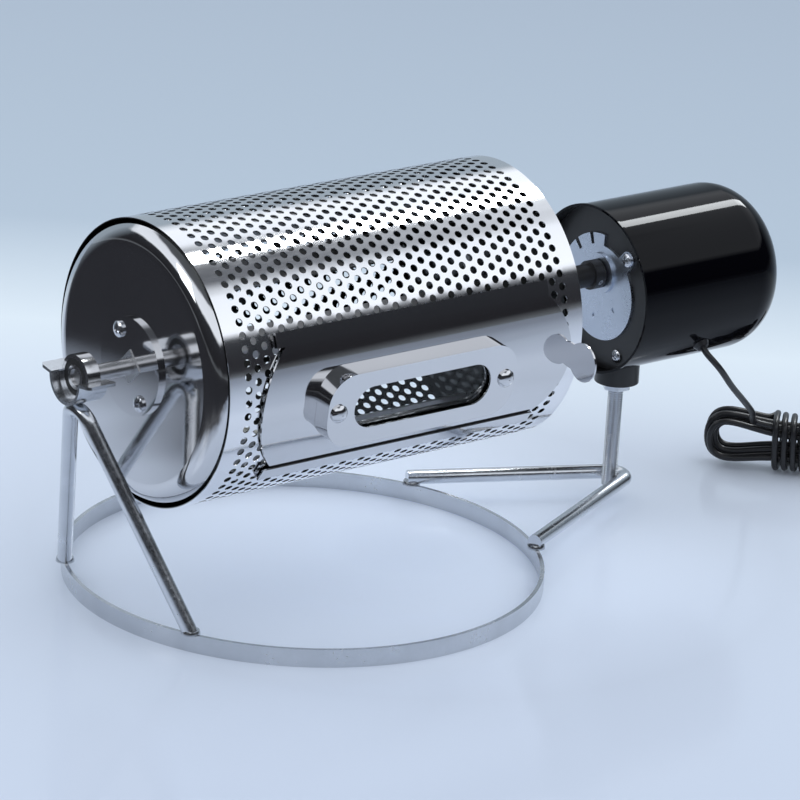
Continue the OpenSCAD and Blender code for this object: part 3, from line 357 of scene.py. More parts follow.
def add_thread_tree():
    """A rod whose radius follows a helix: crests at full size, roots one thread depth lower."""
    tree, given, out = group("screw_thread", [
        ("Geometry", "NodeSocketGeometry", None), ("Radius", "NodeSocketFloat", 0.004),
        ("Length", "NodeSocketFloat", 0.05), ("Pitch", "NodeSocketFloat", 0.00125),
        ("Depth", "NodeSocketFloat", 0.0007), ("Place", "NodeSocketVector", (0.0, 0.0, 0.0)),
        ("Rings", "NodeSocketInt", 400), ("Finish", "NodeSocketMaterial", None)],
        [("Geometry", "NodeSocketGeometry")], "GeometryNodeTree")
    rod = node(tree, "GeometryNodeMeshCylinder", {"Vertices": POST_SIDES,
                                                  "Side Segments": given.outputs["Rings"],
                                                  "Radius": given.outputs["Radius"],
                                                  "Depth": given.outputs["Length"]})
    place = node(tree, "GeometryNodeInputPosition").outputs[0]
    axes = node(tree, "ShaderNodeSeparateXYZ", {0: place})
    turn = node(tree, "ShaderNodeMath", {0: axes.outputs["Y"], 1: axes.outputs["X"]}, operation="ARCTAN2")
    share = node(tree, "ShaderNodeMath", {0: turn.outputs[0], 1: 2 * math.pi}, operation="DIVIDE")
    climb = node(tree, "ShaderNodeMath", {0: axes.outputs["Z"], 1: given.outputs["Pitch"]},
                 operation="DIVIDE")
    both = node(tree, "ShaderNodeMath", {0: share.outputs[0], 1: climb.outputs[0]}, operation="ADD")
    phase = node(tree, "ShaderNodeMath", {0: both.outputs[0], 1: 0.5}, operation="PINGPONG")
    groove = node(tree, "ShaderNodeMapRange", {"Value": phase.outputs[0], "From Min": CREST_ENDS,
                                               "From Max": ROOT_STARTS,
                                               "To Min": 0.0, "To Max": 1.0})
    low = node(tree, "ShaderNodeMath", {0: groove.outputs[0], 1: given.outputs["Depth"]},
               operation="MULTIPLY")
    radius = node(tree, "ShaderNodeMath", {0: given.outputs["Radius"], 1: low.outputs[0]},
                  operation="SUBTRACT")
    size = node(tree, "ShaderNodeMath", {0: radius.outputs[0], 1: given.outputs["Radius"]},
                operation="DIVIDE")
    flat = node(tree, "ShaderNodeCombineXYZ", {"X": size.outputs[0], "Y": size.outputs[0], "Z": 1.0})
    cut = node(tree, "ShaderNodeVectorMath", {0: place, 1: flat.outputs[0]}, operation="MULTIPLY")
    threaded = node(tree, "GeometryNodeSetPosition", {"Geometry": rod.outputs["Mesh"],
                                                      "Position": cut.outputs[0]})
    moved = node(tree, "GeometryNodeTransform", {"Geometry": threaded.outputs[0],
                                                 "Translation": given.outputs["Place"]})
    real = node(tree, "GeometryNodeRealizeInstances", {"Geometry": moved.outputs[0]})
    painted = node(tree, "GeometryNodeSetMaterial", {"Geometry": real.outputs[0],
                                                     "Material": given.outputs["Finish"]})
    tree.links.new(painted.outputs[0], out.inputs[0])
    return tree


post_low, post_high = (Vector(corner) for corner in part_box("rear_post"))
post_length = post_high.z - post_low.z
threaded_post = grown("threaded_post", add_thread_tree(), inputs={
    "Radius": (post_high.y - post_low.y) / 2, "Length": post_length, "Pitch": POST_PITCH,
    "Depth": THREAD_DEPTH, "Place": (post_low + post_high) / 2,
    "Rings": int(post_length / POST_PITCH * RINGS_PER_TURN), "Finish": zinc})
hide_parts("rear_post")
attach(threaded_post, "stand")

# ---------------------------------------------------------------------------
# Front bearing. Ground steel races with black rubber seals, seated in the
# cradle; its inner race is pressed on the axle.
# ---------------------------------------------------------------------------
ground = finish("ground_steel", (0.7, 0.7, 0.71), 0.12, metallic=1.0, spread=0.06)
rubber = finish("black_rubber", (0.015, 0.015, 0.016), 0.5, tone=0.3, spread=0.15, bump=0.2)
cage = finish("cage_strip", (0.6, 0.45, 0.25), 0.35, metallic=1.0)
dress(ground, "bearing_outer_race", "bearing_inner_race", "bearing_balls")
dress(rubber, "bearing_seals", "window_gasket")
dress(cage, "bearing_cage")

# ---------------------------------------------------------------------------
# End caps, hub flanges and door. Stainless sheet, spun or pressed, and
# polished to a mirror with only the faintest haze. The rear cap inside the
# drum is painted darker: painted shade inside the drum.
# ---------------------------------------------------------------------------
mirror = finish("polished_stainless", (0.66, 0.66, 0.67), 0.07, metallic=1.0, tone=0.06, spread=0.03,
                patch=25.0, grain=(60.0, 900.0, 900.0), bump=0.02, depth=0.00002)
# Colour of the painted shade inside the drum.
DRUM_INSIDE_SHADE = (0.05, 0.052, 0.05, 1.0)
CAP_BORE, REAR_FLOOR = 0.0692, RIM_X / 1000 + 0.2054
PAST_ENDS = 1.0


def paint_drum_inside_shade(material, radius, front, rear):
    """Painted shade inside the drum: darker metal nearer the drum's axis than radius, between two stations."""
    tree = material.node_tree
    shader = tree.nodes["Principled BSDF"]
    unshaded_colour = shader.inputs["Base Color"].links[0].from_socket
    axes = node(tree, "ShaderNodeSeparateXYZ", {0: node(tree, "ShaderNodeTexCoord").outputs["Object"]})
    up = node(tree, "ShaderNodeMath", {0: axes.outputs["Z"], 1: AXIS_Z / 1000}, operation="SUBTRACT")
    flat = node(tree, "ShaderNodeCombineXYZ", {"X": axes.outputs["Y"], "Y": up.outputs[0]})
    far = node(tree, "ShaderNodeVectorMath", {0: flat.outputs[0]}, operation="LENGTH")
    near = node(tree, "ShaderNodeMath", {0: far.outputs["Value"], 1: radius}, operation="LESS_THAN")
    behind = node(tree, "ShaderNodeMath", {0: axes.outputs["X"], 1: front}, operation="GREATER_THAN")
    ahead = node(tree, "ShaderNodeMath", {0: axes.outputs["X"], 1: rear}, operation="LESS_THAN")
    both = node(tree, "ShaderNodeMath", {0: near.outputs[0], 1: behind.outputs[0]}, operation="MULTIPLY")
    inside = node(tree, "ShaderNodeMath", {0: both.outputs[0], 1: ahead.outputs[0]}, operation="MULTIPLY")
    shaded_colour = node(tree, "ShaderNodeMix", {0: inside.outputs[0], 6: unshaded_colour, 7: DRUM_INSIDE_SHADE}, data_type="RGBA")
    tree.links.new(shaded_colour.outputs[2], shader.inputs["Base Color"])


rear_metal = finish("rear_cap_stainless", (0.66, 0.66, 0.67), 0.09, metallic=1.0, tone=0.06, spread=0.03,
                    patch=25.0)
# Painted shade: the rear cap is darker within the drum's bore, ahead of its floor.
paint_drum_inside_shade(rear_metal, CAP_BORE, -PAST_ENDS, REAR_FLOOR)
dress(rear_metal, "rear_cap")
dress(mirror, "front_cap", "front_hub_flange", "rear_hub_flange", "door_plate", "window_frame",
      "window_rivets", "glass_clip", "upper_rail", "lower_rail")
bar = finish("drawn_bar", (0.55, 0.55, 0.56), 0.3, metallic=1.0, tone=0.15, spread=0.12,
             grain=(80.0, 1200.0, 1200.0))
dress(bar, "drum_axle", "output_shaft", "hub_nuts", "grub_screw", "lifting_vane_1", "lifting_vane_2",
      "lifting_vane_3")

# ---------------------------------------------------------------------------
# Glass. A clear 3 mm pane behind the slot in the window frame.
# ---------------------------------------------------------------------------
glass = bpy.data.materials.new("clear_glass")
glass.use_nodes = True
pane = glass.node_tree.nodes["Principled BSDF"]
pane.inputs["Base Color"].default_value = (0.96, 0.98, 0.98, 1.0)
pane.inputs["Transmission Weight"].default_value = 1.0
pane.inputs["IOR"].default_value = 1.2
smear = node(glass.node_tree, "ShaderNodeTexNoise", {
    "Vector": node(glass.node_tree, "ShaderNodeTexCoord").outputs["Object"], "Scale": 60.0, "Detail": 3.0})
haze = node(glass.node_tree, "ShaderNodeMath", {0: smear.outputs["Fac"], 1: 0.03}, operation="MULTIPLY")
glass.node_tree.links.new(haze.outputs[0], pane.inputs["Roughness"])
dress(glass, "window_glass")

# ---------------------------------------------------------------------------
# Drum sheet. Stainless sheet punched with round holes in staggered columns,
# rolled into a tube, with a plain edge at each end and round the bean port.
# ---------------------------------------------------------------------------
DRUM_R, DRUM_LEN, SHEET_T, HOLE_R, HOLES_ROUND, MARGIN = 0.070, 0.212, 0.0008, 0.002, 68, 0.0085
DOOR_ANGLE, PORT_MID, PORT_LEN, PORT_HALF, PORT_CORNER = math.radians(186.5), 0.111, 0.146, 0.024, 0.008
row_pitch = 2 * math.pi * DRUM_R / HOLES_ROUND
column_pitch = row_pitch * math.sin(math.radians(60))
columns = int((DRUM_LEN - 2 * MARGIN) / column_pitch) + 1
first_column = (DRUM_LEN - (columns - 1) * column_pitch) / 2
tile_half, row_half = column_pitch / 2, row_pitch / 2


def tile_rim(x=0.0, y=0.0):
    """The twelve points round one piece of sheet, which its neighbours share."""
    w, h = tile_half, row_half
    return [(x + a, y + b) for a, b in (
        (w, 0), (w, h / 2), (w, h), (0, h), (-w, h), (-w, h / 2), (-w, 0), (-w, -h / 2), (-w, -h), (0, -h),
        (w, -h), (w, -h / 2))]


def round_rect(mid_x, mid_y, half_x, half_y, corner, steps):
    """A rectangle with round corners as a closed ring of points."""
    out = []
    for i, (sx, sy) in enumerate(((1, 1), (-1, 1), (-1, -1), (1, -1))):
        for j in range(steps + 1):
            a = math.pi / 2 * (i + j / steps)
            out.append((mid_x + sx * (half_x - corner) + corner * math.cos(a),
                        mid_y + sy * (half_y - corner) + corner * math.sin(a)))
    return out


def triangulated(outlines, keep):
    """Flat triangles between closed outlines, those kept whose middle passes a test."""
    points, edges = [], []
    for ring in outlines:
        start = len(points)
        points += [Vector(p) for p in ring]
        edges += [(start + i, start + (i + 1) % len(ring)) for i in range(len(ring))]
    spots, _, faces, *_ = delaunay_2d_cdt(points, edges, [], 0, 1e-7)
    kept = []
    for face in faces:
        mid = sum((spots[i] for i in face), Vector((0, 0))) / len(face)
        if keep(mid):
            kept.append(tuple(face))
    return [(p.x, p.y, 0.0) for p in spots], kept


def in_round_rect(p, mid_x, mid_y, half_x, half_y, corner):
    """Whether a point lies in a rectangle with round corners."""
    dx, dy = abs(p[0] - mid_x) - (half_x - corner), abs(p[1] - mid_y) - (half_y - corner)
    if max(dx, dy) > corner:
        return False
    return min(dx, dy) < 0 or math.hypot(max(dx, 0), max(dy, 0)) < corner


punched_at, plain_at = [], []
port_y = DOOR_ANGLE * DRUM_R
for c in range(columns):
    for k in range(HOLES_ROUND):
        x, y = first_column + c * column_pitch, (k + (c % 2) / 2) * row_pitch
        clear = abs(x - PORT_MID) > PORT_LEN / 2 + 2 * HOLE_R or abs(y - port_y) > PORT_HALF + 2 * HOLE_R
        (punched_at if clear else plain_at).append((x, y))
port = (PORT_MID, port_y, PORT_LEN / 2, PORT_HALF, PORT_CORNER)
plain_centres = np.array(plain_at)


def on_plain_sheet(p):
    """Whether a point lies on a tile without a hole, outside the port."""
    offset = np.abs(plain_centres - np.array(p))
    inside = np.any((offset[:, 0] < tile_half) & (offset[:, 1] < row_half))
    return bool(inside) and not in_round_rect(p, *port)


EDGE_ROWS, STEPS_PER_HOLE, CORNER_STEPS = (0.0, 0.0012, 0.0035), 4, 6
spots, faces = triangulated([tile_rim(*p) for p in plain_at] + [round_rect(*port, CORNER_STEPS)], on_plain_sheet)
around = HOLES_ROUND * STEPS_PER_HOLE + 1
for stations in ((*EDGE_ROWS, first_column - tile_half),
                 (DRUM_LEN - first_column + tile_half, *(DRUM_LEN - e for e in reversed(EDGE_ROWS)))):
    base = len(spots)
    spots += [(x, (j - STEPS_PER_HOLE // 2) * row_pitch / STEPS_PER_HOLE, 0.0)
              for x in stations for j in range(around)]
    faces += [(base + i * around + j, base + (i + 1) * around + j, base + (i + 1) * around + j + 1,
               base + i * around + j + 1) for i in range(len(stations) - 1) for j in range(around - 1)]
plain_sheet = bpy.data.meshes.new("plain_sheet")
plain_sheet.from_pydata(spots, [], faces)
hole_points = bpy.data.meshes.new("hole_points")
hole_points.from_pydata([(x, y, 0.0) for x, y in punched_at], [], [])
hole_host = bpy.data.objects.new("hole_points", hole_points)
tile_mesh = bpy.data.meshes.new("punched_tile")
HOLE_SIDES = 12
turns = [2 * math.pi * i / HOLE_SIDES for i in range(HOLE_SIDES)]
hole_rim = [(HOLE_R * math.cos(a), HOLE_R * math.sin(a), 0.0) for a in turns]
tile_mesh.from_pydata([(x, y, 0.0) for x, y in tile_rim()] + hole_rim, [], [
    (i, (i + 1) % HOLE_SIDES, HOLE_SIDES + (i + 1) % HOLE_SIDES, HOLE_SIDES + i) for i in range(HOLE_SIDES)])
tile_host = bpy.data.objects.new("punched_tile", tile_mesh)


def shade_and_paint(tree, shape, sharp, material, out):
    """The end of a tree: smooth shading up to a sharp edge's angle, then the material."""
    bend = node(tree, "GeometryNodeInputMeshEdgeAngle")
    soft = node(tree, "FunctionNodeCompare", {0: bend.outputs[0], 1: sharp}, operation="LESS_THAN")
    faces = node(tree, "GeometryNodeSetShadeSmooth", {"Geometry": shape, "Shade Smooth": True})
    edges = node(tree, "GeometryNodeSetShadeSmooth", {"Geometry": faces.outputs[0],
                                                      "Shade Smooth": soft.outputs[0]}, domain="EDGE")
    painted = node(tree, "GeometryNodeSetMaterial", {"Geometry": edges.outputs[0], "Material": material})
    tree.links.new(painted.outputs[0], out.inputs[0])


SHEET_EDGE, WELD = math.radians(40), 0.00001


def add_sheet_tree():
    """Places the punched tiles beside the plain sheet, rolls all of it and gives it its thickness."""
    tree, given, out = group("punched_sheet", [
        ("Geometry", "NodeSocketGeometry", None), ("Holes", "NodeSocketObject", None),
        ("Tile", "NodeSocketObject", None), ("Radius", "NodeSocketFloat", 0.07),
        ("Thickness", "NodeSocketFloat", 0.0008), ("Front rim", "NodeSocketFloat", 0.0),
        ("Axis height", "NodeSocketFloat", 0.1), ("Finish", "NodeSocketMaterial", None)],
        [("Geometry", "NodeSocketGeometry")], "GeometryNodeTree")
    holes = node(tree, "GeometryNodeObjectInfo", {"Object": given.outputs["Holes"]})
    shape = node(tree, "GeometryNodeObjectInfo", {"Object": given.outputs["Tile"]})
    tiles = node(tree, "GeometryNodeInstanceOnPoints", {"Points": holes.outputs["Geometry"],
                                                        "Instance": shape.outputs["Geometry"]})
    joined = node(tree, "GeometryNodeJoinGeometry")
    tree.links.new(tiles.outputs[0], joined.inputs[0])
    tree.links.new(given.outputs["Geometry"], joined.inputs[0])
    real = node(tree, "GeometryNodeRealizeInstances", {"Geometry": joined.outputs[0]})
    flat = node(tree, "GeometryNodeMergeByDistance", {"Geometry": real.outputs[0], "Distance": WELD})
    axes = node(tree, "ShaderNodeSeparateXYZ", {0: node(tree, "GeometryNodeInputPosition").outputs[0]})
    angle = node(tree, "ShaderNodeMath", {0: axes.outputs["Y"], 1: given.outputs["Radius"]},
                 operation="DIVIDE")
    inner = node(tree, "ShaderNodeMath", {0: given.outputs["Radius"], 1: given.outputs["Thickness"]},
                 operation="SUBTRACT")
    sine = node(tree, "ShaderNodeMath", {0: angle.outputs[0]}, operation="SINE")
    cosine = node(tree, "ShaderNodeMath", {0: angle.outputs[0]}, operation="COSINE")
    along = node(tree, "ShaderNodeMath", {0: axes.outputs["X"], 1: given.outputs["Front rim"]},
                 operation="ADD")
    across = node(tree, "ShaderNodeMath", {0: cosine.outputs[0], 1: inner.outputs[0]}, operation="MULTIPLY")
    high = node(tree, "ShaderNodeMath", {0: sine.outputs[0], 1: inner.outputs[0],
                                         2: given.outputs["Axis height"]}, operation="MULTIPLY_ADD")
    bent = node(tree, "ShaderNodeCombineXYZ", {"X": along.outputs[0], "Y": across.outputs[0],
                                               "Z": high.outputs[0]})
    rolled = node(tree, "GeometryNodeSetPosition", {"Geometry": flat.outputs[0], "Position": bent.outputs[0]})
    outward = node(tree, "GeometryNodeFlipFaces", {"Mesh": rolled.outputs[0]})
    tube = node(tree, "GeometryNodeMergeByDistance", {"Geometry": outward.outputs[0], "Distance": WELD})
    thick = node(tree, "GeometryNodeExtrudeMesh", {"Mesh": tube.outputs[0],
                                                   "Offset Scale": given.outputs["Thickness"]}, mode="FACES")
    thick.inputs["Individual"].default_value = False
    inside = node(tree, "GeometryNodeFlipFaces", {"Mesh": tube.outputs[0]})
    walls = node(tree, "GeometryNodeJoinGeometry")
    tree.links.new(thick.outputs["Mesh"], walls.inputs[0])
    tree.links.new(inside.outputs[0], walls.inputs[0])
    closed = node(tree, "GeometryNodeMergeByDistance", {"Geometry": walls.outputs[0], "Distance": WELD})
    shade_and_paint(tree, closed.outputs[0], SHEET_EDGE, given.outputs["Finish"], out)
    return tree


sheet_metal = finish("rolled_stainless", (0.86, 0.86, 0.87), 0.1, metallic=1.0, tone=0.08, spread=0.06,
                     patch=30.0, grain=(70.0, 700.0, 700.0), bump=0.03)
# Painted shade: the sheet's inner face is darker, standing in for the shade inside the drum.
paint_drum_inside_shade(sheet_metal, DRUM_R - SHEET_T / 2, -PAST_ENDS, PAST_ENDS)
perforated_drum = grown("perforated_drum", add_sheet_tree(), plain_sheet, {
    "Holes": hole_host, "Tile": tile_host, "Radius": DRUM_R, "Thickness": SHEET_T, "Front rim": RIM_X / 1000,
    "Axis height": AXIS_Z / 1000, "Finish": sheet_metal})
bpy.data.objects.remove(hole_host)
bpy.data.objects.remove(tile_host)
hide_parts("drum_sheet")
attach(perforated_drum, "drum")

# ---------------------------------------------------------------------------
# Drive. Gear motor with a blue zinc plated face, a black nylon coupling, the
# bracket and socket in satin black, and the can in black enamel.
# ---------------------------------------------------------------------------
blue_zinc = finish("blue_zinc", (0.55, 0.6, 0.68), 0.3, metallic=1.0, tone=0.2, spread=0.15, patch=60.0)
nylon = finish("black_nylon", (0.02, 0.02, 0.022), 0.42, tone=0.2, spread=0.1, bump=0.15)
enamel = finish("black_enamel", (0.001, 0.001, 0.002), 0.05, tone=0.2, spread=0.04, patch=30.0, bump=0.02,
                Specular_IOR_Level=0.14)
satin = finish("satin_black", (0.012, 0.012, 0.013), 0.35, tone=0.2, spread=0.1, bump=0.1)
dress(blue_zinc, "gear_motor")
dress(nylon, "shaft_coupling")
dress(enamel, "motor_can")
dress(satin, "motor_bracket", "post_socket")


# ---------------------------------------------------------------------------
# Screws. Zinc plated pan heads with cross recesses: two in each hub, and four
# that hold the gear motor and the can on the bracket.
# ---------------------------------------------------------------------------
def turned(name, profile, sides):
    """A closed round solid from (radius, height) points, from its foot's middle to its top's middle."""
    spots, faces = [(0.0, 0.0, profile[0][1])], []
    rings = profile[1:-1]
    for r, z in rings:
        spots += [(r * math.cos(2 * math.pi * j / sides), r * math.sin(2 * math.pi * j / sides), z)
                  for j in range(sides)]
    spots.append((0.0, 0.0, profile[-1][1]))
    for j in range(sides):
        k = (j + 1) % sides
        faces.append((0, 1 + k, 1 + j))
        for i in range(len(rings) - 1):
            a, b = 1 + i * sides, 1 + (i + 1) * sides
            faces.append((a + j, a + k, b + k, b + j))
        last = 1 + (len(rings) - 1) * sides
        faces.append((last + j, last + k, len(spots) - 1))
    data = bpy.data.meshes.new(name)
    data.from_pydata(spots, [], faces)
    return data


def cross_cutter(reach, width, depth, top):
    """The tapering cross that a screwdriver's tip fits."""
    ring = []
    for i in range(4):
        c, s = round(math.cos(math.pi / 2 * i)), round(math.sin(math.pi / 2 * i))
        for x, y in ((reach, -width), (reach, width), (width, width)):
            ring.append((x * c - y * s, x * s + y * c))
    spots = [(x, y, top) for x, y in ring] + [(x * 0.5, y * 0.7, top - depth) for x, y in ring]
    data = bpy.data.meshes.new("cross_cutter")
    data.from_pydata(spots, [], [tuple(range(12)), tuple(reversed(range(12, 24)))]
                     + [(i, i + 12, (i + 1) % 12 + 12, (i + 1) % 12) for i in range(12)])
    return data


DOME_BALL, DOME_RINGS, HEAD_SIDES = 0.72, 6, 32
CROSS_REACH, CROSS_WIDTH, CROSS_DEPTH, CUTTER_PROUD = 0.29, 0.075, 0.62, 0.0002


def pan_screw(name, head_d, head_h, shank_d, shank_len):
    """A pan head with a cross recess on a plain shank, its seat at the origin."""
    r, ball = head_d / 2, head_d * DOME_BALL
    dome = [(r * math.cos(t), head_h - ball + math.sqrt(ball ** 2 - (r * math.cos(t)) ** 2))
            for t in (math.pi / 2 * i / DOME_RINGS for i in range(DOME_RINGS))]
    data = turned(name, [(0, -shank_len), (shank_d / 2, -shank_len), (shank_d / 2, 0.0), (r, 0.0), *dome,
                         (0, head_h)], HEAD_SIDES)
    blank = link(bpy.data.objects.new(name, data))
    cross = cross_cutter(head_d * CROSS_REACH, head_d * CROSS_WIDTH, head_h * CROSS_DEPTH,
                         head_h + CUTTER_PROUD)
    cutter = link(bpy.data.objects.new("cross_cutter", cross))
    cut = blank.modifiers.new("recess", "BOOLEAN")
    cut.operation, cut.solver, cut.object = "DIFFERENCE", "EXACT", cutter
    bpy.context.view_layer.update()
    made = bpy.data.meshes.new_from_object(blank.evaluated_get(bpy.context.evaluated_depsgraph_get()))
    bpy.data.objects.remove(blank)
    bpy.data.objects.remove(cutter)
    return bpy.data.objects.new(name, made)


SCREW_EDGE = math.radians(32)


def add_screw_tree():
    """One screw at each point, its head along the point's axis and its cross at the point's turn."""
    tree, given, out = group("set_screws", [
        ("Geometry", "NodeSocketGeometry", None), ("Screw", "NodeSocketObject", None),
        ("Finish", "NodeSocketMaterial", None)], [("Geometry", "NodeSocketGeometry")], "GeometryNodeTree")
    shape = node(tree, "GeometryNodeObjectInfo", {"Object": given.outputs["Screw"]})
    axis = node(tree, "GeometryNodeInputNamedAttribute", {"Name": "axis"}, data_type="FLOAT_VECTOR")
    turn = node(tree, "GeometryNodeInputNamedAttribute", {"Name": "turn"}, data_type="FLOAT")
    faced = node(tree, "FunctionNodeAlignRotationToVector", {"Vector": axis.outputs[0]}, axis="Z")
    spin = node(tree, "FunctionNodeAxisAngleToRotation", {"Angle": turn.outputs[0]})
    both = node(tree, "FunctionNodeRotateRotation", {"Rotation": faced.outputs[0],
                                                     "Rotate By": spin.outputs[0]}, rotation_space="LOCAL")
    placed = node(tree, "GeometryNodeInstanceOnPoints", {"Points": given.outputs["Geometry"],
                                                         "Instance": shape.outputs["Geometry"],
                                                         "Rotation": both.outputs[0]})
    real = node(tree, "GeometryNodeRealizeInstances", {"Geometry": placed.outputs[0]})
    shade_and_paint(tree, real.outputs[0], SCREW_EDGE, given.outputs["Finish"], out)
    return tree


screw_tree = add_screw_tree()
screw_zinc = finish("screw_zinc", (0.6, 0.61, 0.64), 0.2, metallic=1.0, tone=0.2, spread=0.12, patch=200.0)


def set_screws(name, screw, places, body, replaced):
    """Sets copies of one screw at (x, y, z, axis x, turn) and lets them stand for a CAD node."""
    data = bpy.data.meshes.new(name + "_places")
    data.from_pydata([p[:3] for p in places], [], [])
    axes = data.attributes.new("axis", "FLOAT_VECTOR", "POINT")
    axes.data.foreach_set("vector", [v for p in places for v in (p[3], 0.0, 0.0)])
    turns = data.attributes.new("turn", "FLOAT", "POINT")
    turns.data.foreach_set("value", [p[4] for p in places])
    piece = grown(name, screw_tree, data, {"Screw": screw, "Finish": screw_zinc})
    bpy.data.objects.remove(screw)
    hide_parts(replaced)
    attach(piece, body)


HUB_PCR, HUB_TURN, FLANGE_T, CAP_FACE, REAR_FACE = 0.0185, math.radians(60), 0.002, -0.006, 0.206
FIRST_CROSS, NEXT_CROSS = 0.5, 0.7
for end, x, facing in (("front", CAP_FACE - FLANGE_T, -1.0), ("rear", REAR_FACE + FLANGE_T, 1.0)):
    places = []
    for side in (0, 1):
        a = HUB_TURN + math.pi * side
        places.append((RIM_X / 1000 + x, HUB_PCR * math.cos(a), AXIS_Z / 1000 + HUB_PCR * math.sin(a), facing,
                       FIRST_CROSS + NEXT_CROSS * side))
    hub_screw = pan_screw("hub_screw", head_d=0.008, head_h=0.0026, shank_d=0.004, shank_len=0.007)
    set_screws(f"{end}_hub_screw_set", hub_screw, places, "drum", f"{end}_hub_screws")
EAR_R, EAR_DIR, FACE_X, GEAR_Z = 0.030, math.radians(131), 0.283, 0.1167
PLATE_X, CAN_Z, CAN_SCREW_HALF, CAN_SCREW_DROP = 0.2842, 0.1194, 0.0155, 0.033
places = [(RIM_X / 1000 + FACE_X, EAR_R * math.cos(EAR_DIR + math.pi * i),
           GEAR_Z + EAR_R * math.sin(EAR_DIR + math.pi * i), -1.0, 0.3 + i) for i in (0, 1)]
places += [(RIM_X / 1000 + PLATE_X, side * CAN_SCREW_HALF, CAN_Z - CAN_SCREW_DROP, -1.0, 0.4 * side)
           for side in (-1, 1)]
bracket_screw = pan_screw("bracket_screw", head_d=0.007, head_h=0.0022, shank_d=0.004, shank_len=0.0042)
set_screws("bracket_screw_set", bracket_screw, places, "stand", "bracket_screws")

# ---------------------------------------------------------------------------
# Studio. A glossy pale table, a cool backdrop and even light from the world.
# The table's colour holds painted light round the stand and a painted dark
# reflection off to its left. The metal reflects a dark room with a bright
# ceiling band and two softboxes.
# ---------------------------------------------------------------------------
def set_ramp(ramp, steps):
    """Sets a colour ramp from (position, colour) steps, the first and the last at its ends."""
    for stop, (position, colour) in zip((ramp.elements[0], ramp.elements[1]), (steps[0], steps[-1])):
        stop.position, stop.color = position, colour
    for position, colour in steps[1:-1]:
        ramp.elements.new(position).color = colour


floor_data = bpy.data.meshes.new("studio_floor")
FLOOR_HALF = 5.0
corners = ((-1, -1), (1, -1), (1, 1), (-1, 1))
floor_data.from_pydata([(x * FLOOR_HALF, y * FLOOR_HALF, 0) for x, y in corners], [], [(0, 1, 2, 3)])
floor_paint = bpy.data.materials.new("studio_floor")
floor_paint.use_nodes = True
tree = floor_paint.node_tree
paint = tree.nodes["Principled BSDF"]
place = node(tree, "ShaderNodeTexCoord").outputs["Object"]
# Painted light: the table's colour runs along the line of sight, brightest just behind the stand and darker
# farther back.
away = node(tree, "ShaderNodeVectorMath", {0: place, 1: (sight.x, sight.y, 0.0)}, operation="DOT_PRODUCT")
painted_floor_light = node(tree, "ShaderNodeValToRGB", {"Fac": node(tree, "ShaderNodeMapRange", {
    "Value": away.outputs["Value"], "From Min": -0.6, "From Max": 1.2}).outputs[0]})
TABLE_LIGHT_STEPS = ((0.1, (0.62, 0.69, 0.82, 1)), (0.42, (0.76, 0.83, 0.95, 1)), (0.50, (0.86, 0.94, 1.0, 1)),
               (0.60, (0.52, 0.61, 0.71, 1)), (1.0, (0.44, 0.51, 0.61, 1)))
set_ramp(painted_floor_light.color_ramp, TABLE_LIGHT_STEPS)
UNDER_DRUM, PAST_RING, EDGE_STARTS, EDGE_ENDS = 0.04, 0.19, -0.20, -0.30
# Painted reflection: past a wavy line near x = -0.2 m the table turns dark, but only to glossy rays, so the
# mirror parts reflect a dark room there.
PAINTED_DARK_REFLECTION = (0.03, 0.03, 0.035, 1.0)
floor_axes = node(tree, "ShaderNodeSeparateXYZ", {0: place})
ripple = node(tree, "ShaderNodeTexNoise", {"Vector": place, "Scale": 7.0, "Detail": 2.0})
edge = node(tree, "ShaderNodeMath", {0: ripple.outputs["Fac"], 1: 0.16, 2: floor_axes.outputs["X"]},
            operation="MULTIPLY_ADD")
past_edge = node(tree, "ShaderNodeMapRange", {"Value": edge.outputs[0], "From Min": EDGE_STARTS,
                                              "From Max": EDGE_ENDS})
reflected = node(tree, "ShaderNodeMath", {0: past_edge.outputs[0], 1: node(
    tree, "ShaderNodeLightPath").outputs["Is Glossy Ray"]}, operation="MULTIPLY")
# Painted light: a pale pool round the middle of the stand, up to 1.4 times as bright, that lifts the drum's
# shadow on the table.
spread = node(tree, "ShaderNodeVectorMath", {0: place}, operation="LENGTH")
painted_pool_of_light = node(tree, "ShaderNodeMapRange", {"Value": spread.outputs["Value"], "From Min": UNDER_DRUM,
                                           "From Max": PAST_RING, "To Min": 1.4, "To Max": 1.0})
pale = node(tree, "ShaderNodeVectorMath", {0: painted_floor_light.outputs["Color"], "Scale": painted_pool_of_light.outputs[0]},
            operation="SCALE")
table = node(tree, "ShaderNodeMix", {0: reflected.outputs[0], 6: pale.outputs[0], 7: PAINTED_DARK_REFLECTION},
             data_type="RGBA")
tree.links.new(table.outputs[2], paint.inputs["Base Color"])
paint.inputs["Roughness"].default_value = 0.14
paint.inputs["Specular IOR Level"].default_value = 0.3
floor_data.materials.append(floor_paint)
floor = link(bpy.data.objects.new("studio_floor", floor_data))

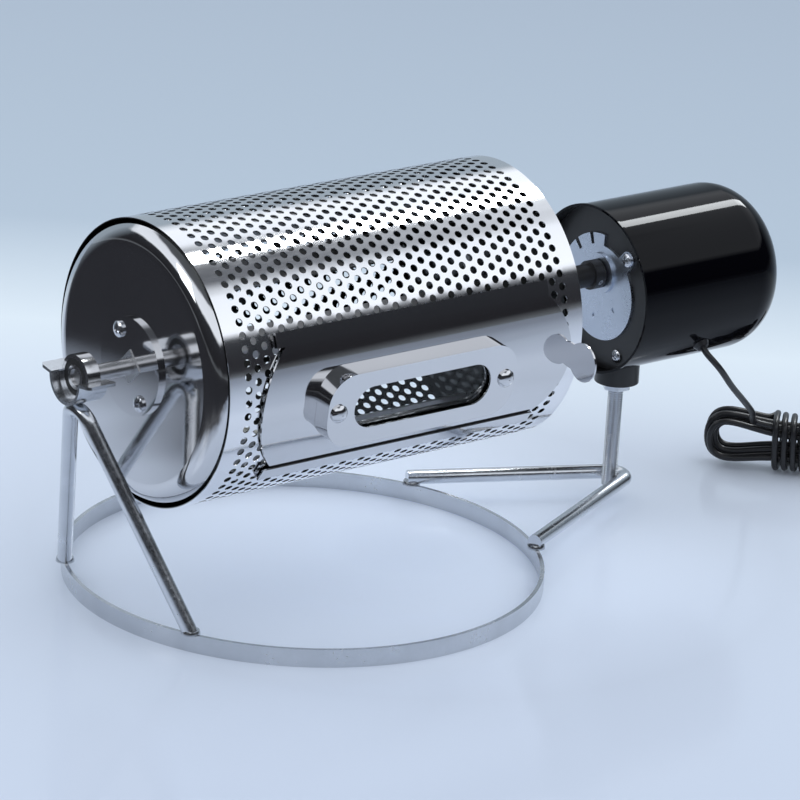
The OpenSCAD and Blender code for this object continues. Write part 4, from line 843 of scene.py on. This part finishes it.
PALE_WALL, EVEN_LIGHT = (0.36, 0.43, 0.50, 1.0), (0.95, 1.0, 1.06, 1.0)
BACKDROP = (0.42, 0.50, 0.58, 1.0)
world = bpy.data.worlds.new("studio")
bpy.context.scene.world = world
world.use_nodes = True
tree = world.node_tree
sky = tree.nodes["Background"]
direction = node(tree, "ShaderNodeTexCoord").outputs["Generated"]
clouds = node(tree, "ShaderNodeTexNoise", {"Vector": direction, "Scale": 2.2, "Detail": 2.0})
height = node(tree, "ShaderNodeMath", {0: clouds.outputs["Fac"], 1: 0.22, 2: node(
    tree, "ShaderNodeSeparateXYZ", {0: direction}).outputs["Z"]}, operation="MULTIPLY_ADD")
room = node(tree, "ShaderNodeValToRGB", {"Fac": height.outputs[0]})
ROOM_STEPS = ((0.0, (0.30, 0.33, 0.36, 1)), (0.16, (0.02, 0.02, 0.024, 1)), (0.50, (0.03, 0.033, 0.04, 1)),
              (0.57, (1.1, 1.16, 1.25, 1)), (0.84, (1.0, 1.06, 1.15, 1)), (0.90, (0.12, 0.13, 0.15, 1)),
              (1.0, (0.10, 0.11, 0.12, 1)))
set_ramp(room.color_ramp, ROOM_STEPS)
behind = node(tree, "ShaderNodeVectorMath", {0: direction, 1: (sight.x, sight.y, 0.0)},
              operation="DOT_PRODUCT")
backdrop = node(tree, "ShaderNodeMapRange", {"Value": behind.outputs["Value"], "From Min": 0.35,
                                             "From Max": 0.65})
low = node(tree, "ShaderNodeMapRange", {"Value": height.outputs[0], "From Min": 0.65, "From Max": 0.5})
pale = node(tree, "ShaderNodeMath", {0: backdrop.outputs[0], 1: low.outputs[0]}, operation="MULTIPLY")
seen_room = node(tree, "ShaderNodeMix", {0: pale.outputs[0], 6: room.outputs["Color"], 7: PALE_WALL},
                 data_type="RGBA")
path = node(tree, "ShaderNodeLightPath")
lit = node(tree, "ShaderNodeMix", {0: path.outputs["Is Glossy Ray"], 6: EVEN_LIGHT, 7: seen_room.outputs[2]},
           data_type="RGBA")
shown = node(tree, "ShaderNodeMix", {0: path.outputs["Is Camera Ray"], 6: lit.outputs[2], 7: BACKDROP},
             data_type="RGBA")
tree.links.new(shown.outputs[2], sky.inputs["Color"])


def softbox(name, place, aim, width, height, power, colour):
    """A lamp that only shows as a bright patch in what reflects it: the world gives the even light."""
    lamp = bpy.data.lights.new(name, "AREA")
    lamp.shape, lamp.size, lamp.size_y, lamp.energy, lamp.color = "RECTANGLE", width, height, power, colour
    box = link(bpy.data.objects.new(name, lamp))
    box.visible_diffuse = False
    facing = (Vector(aim) - Vector(place)).to_track_quat("-Z", "Y")
    box.matrix_world = Matrix.Translation(place) @ facing.to_matrix().to_4x4()


DRUM_MIDDLE = (0, 0, 0.1)
softbox("overhead", (1.0, 0.3, 1.5), DRUM_MIDDLE, width=0.24, height=1.6, power=22.0, colour=(0.93, 0.97, 1.0))
softbox("left_window", (-1.6, 0.3, 1.1), DRUM_MIDDLE, width=0.5, height=0.7, power=4.0, colour=(0.9, 0.95, 1.0))

bpy.context.scene.view_settings.view_transform = "Standard"
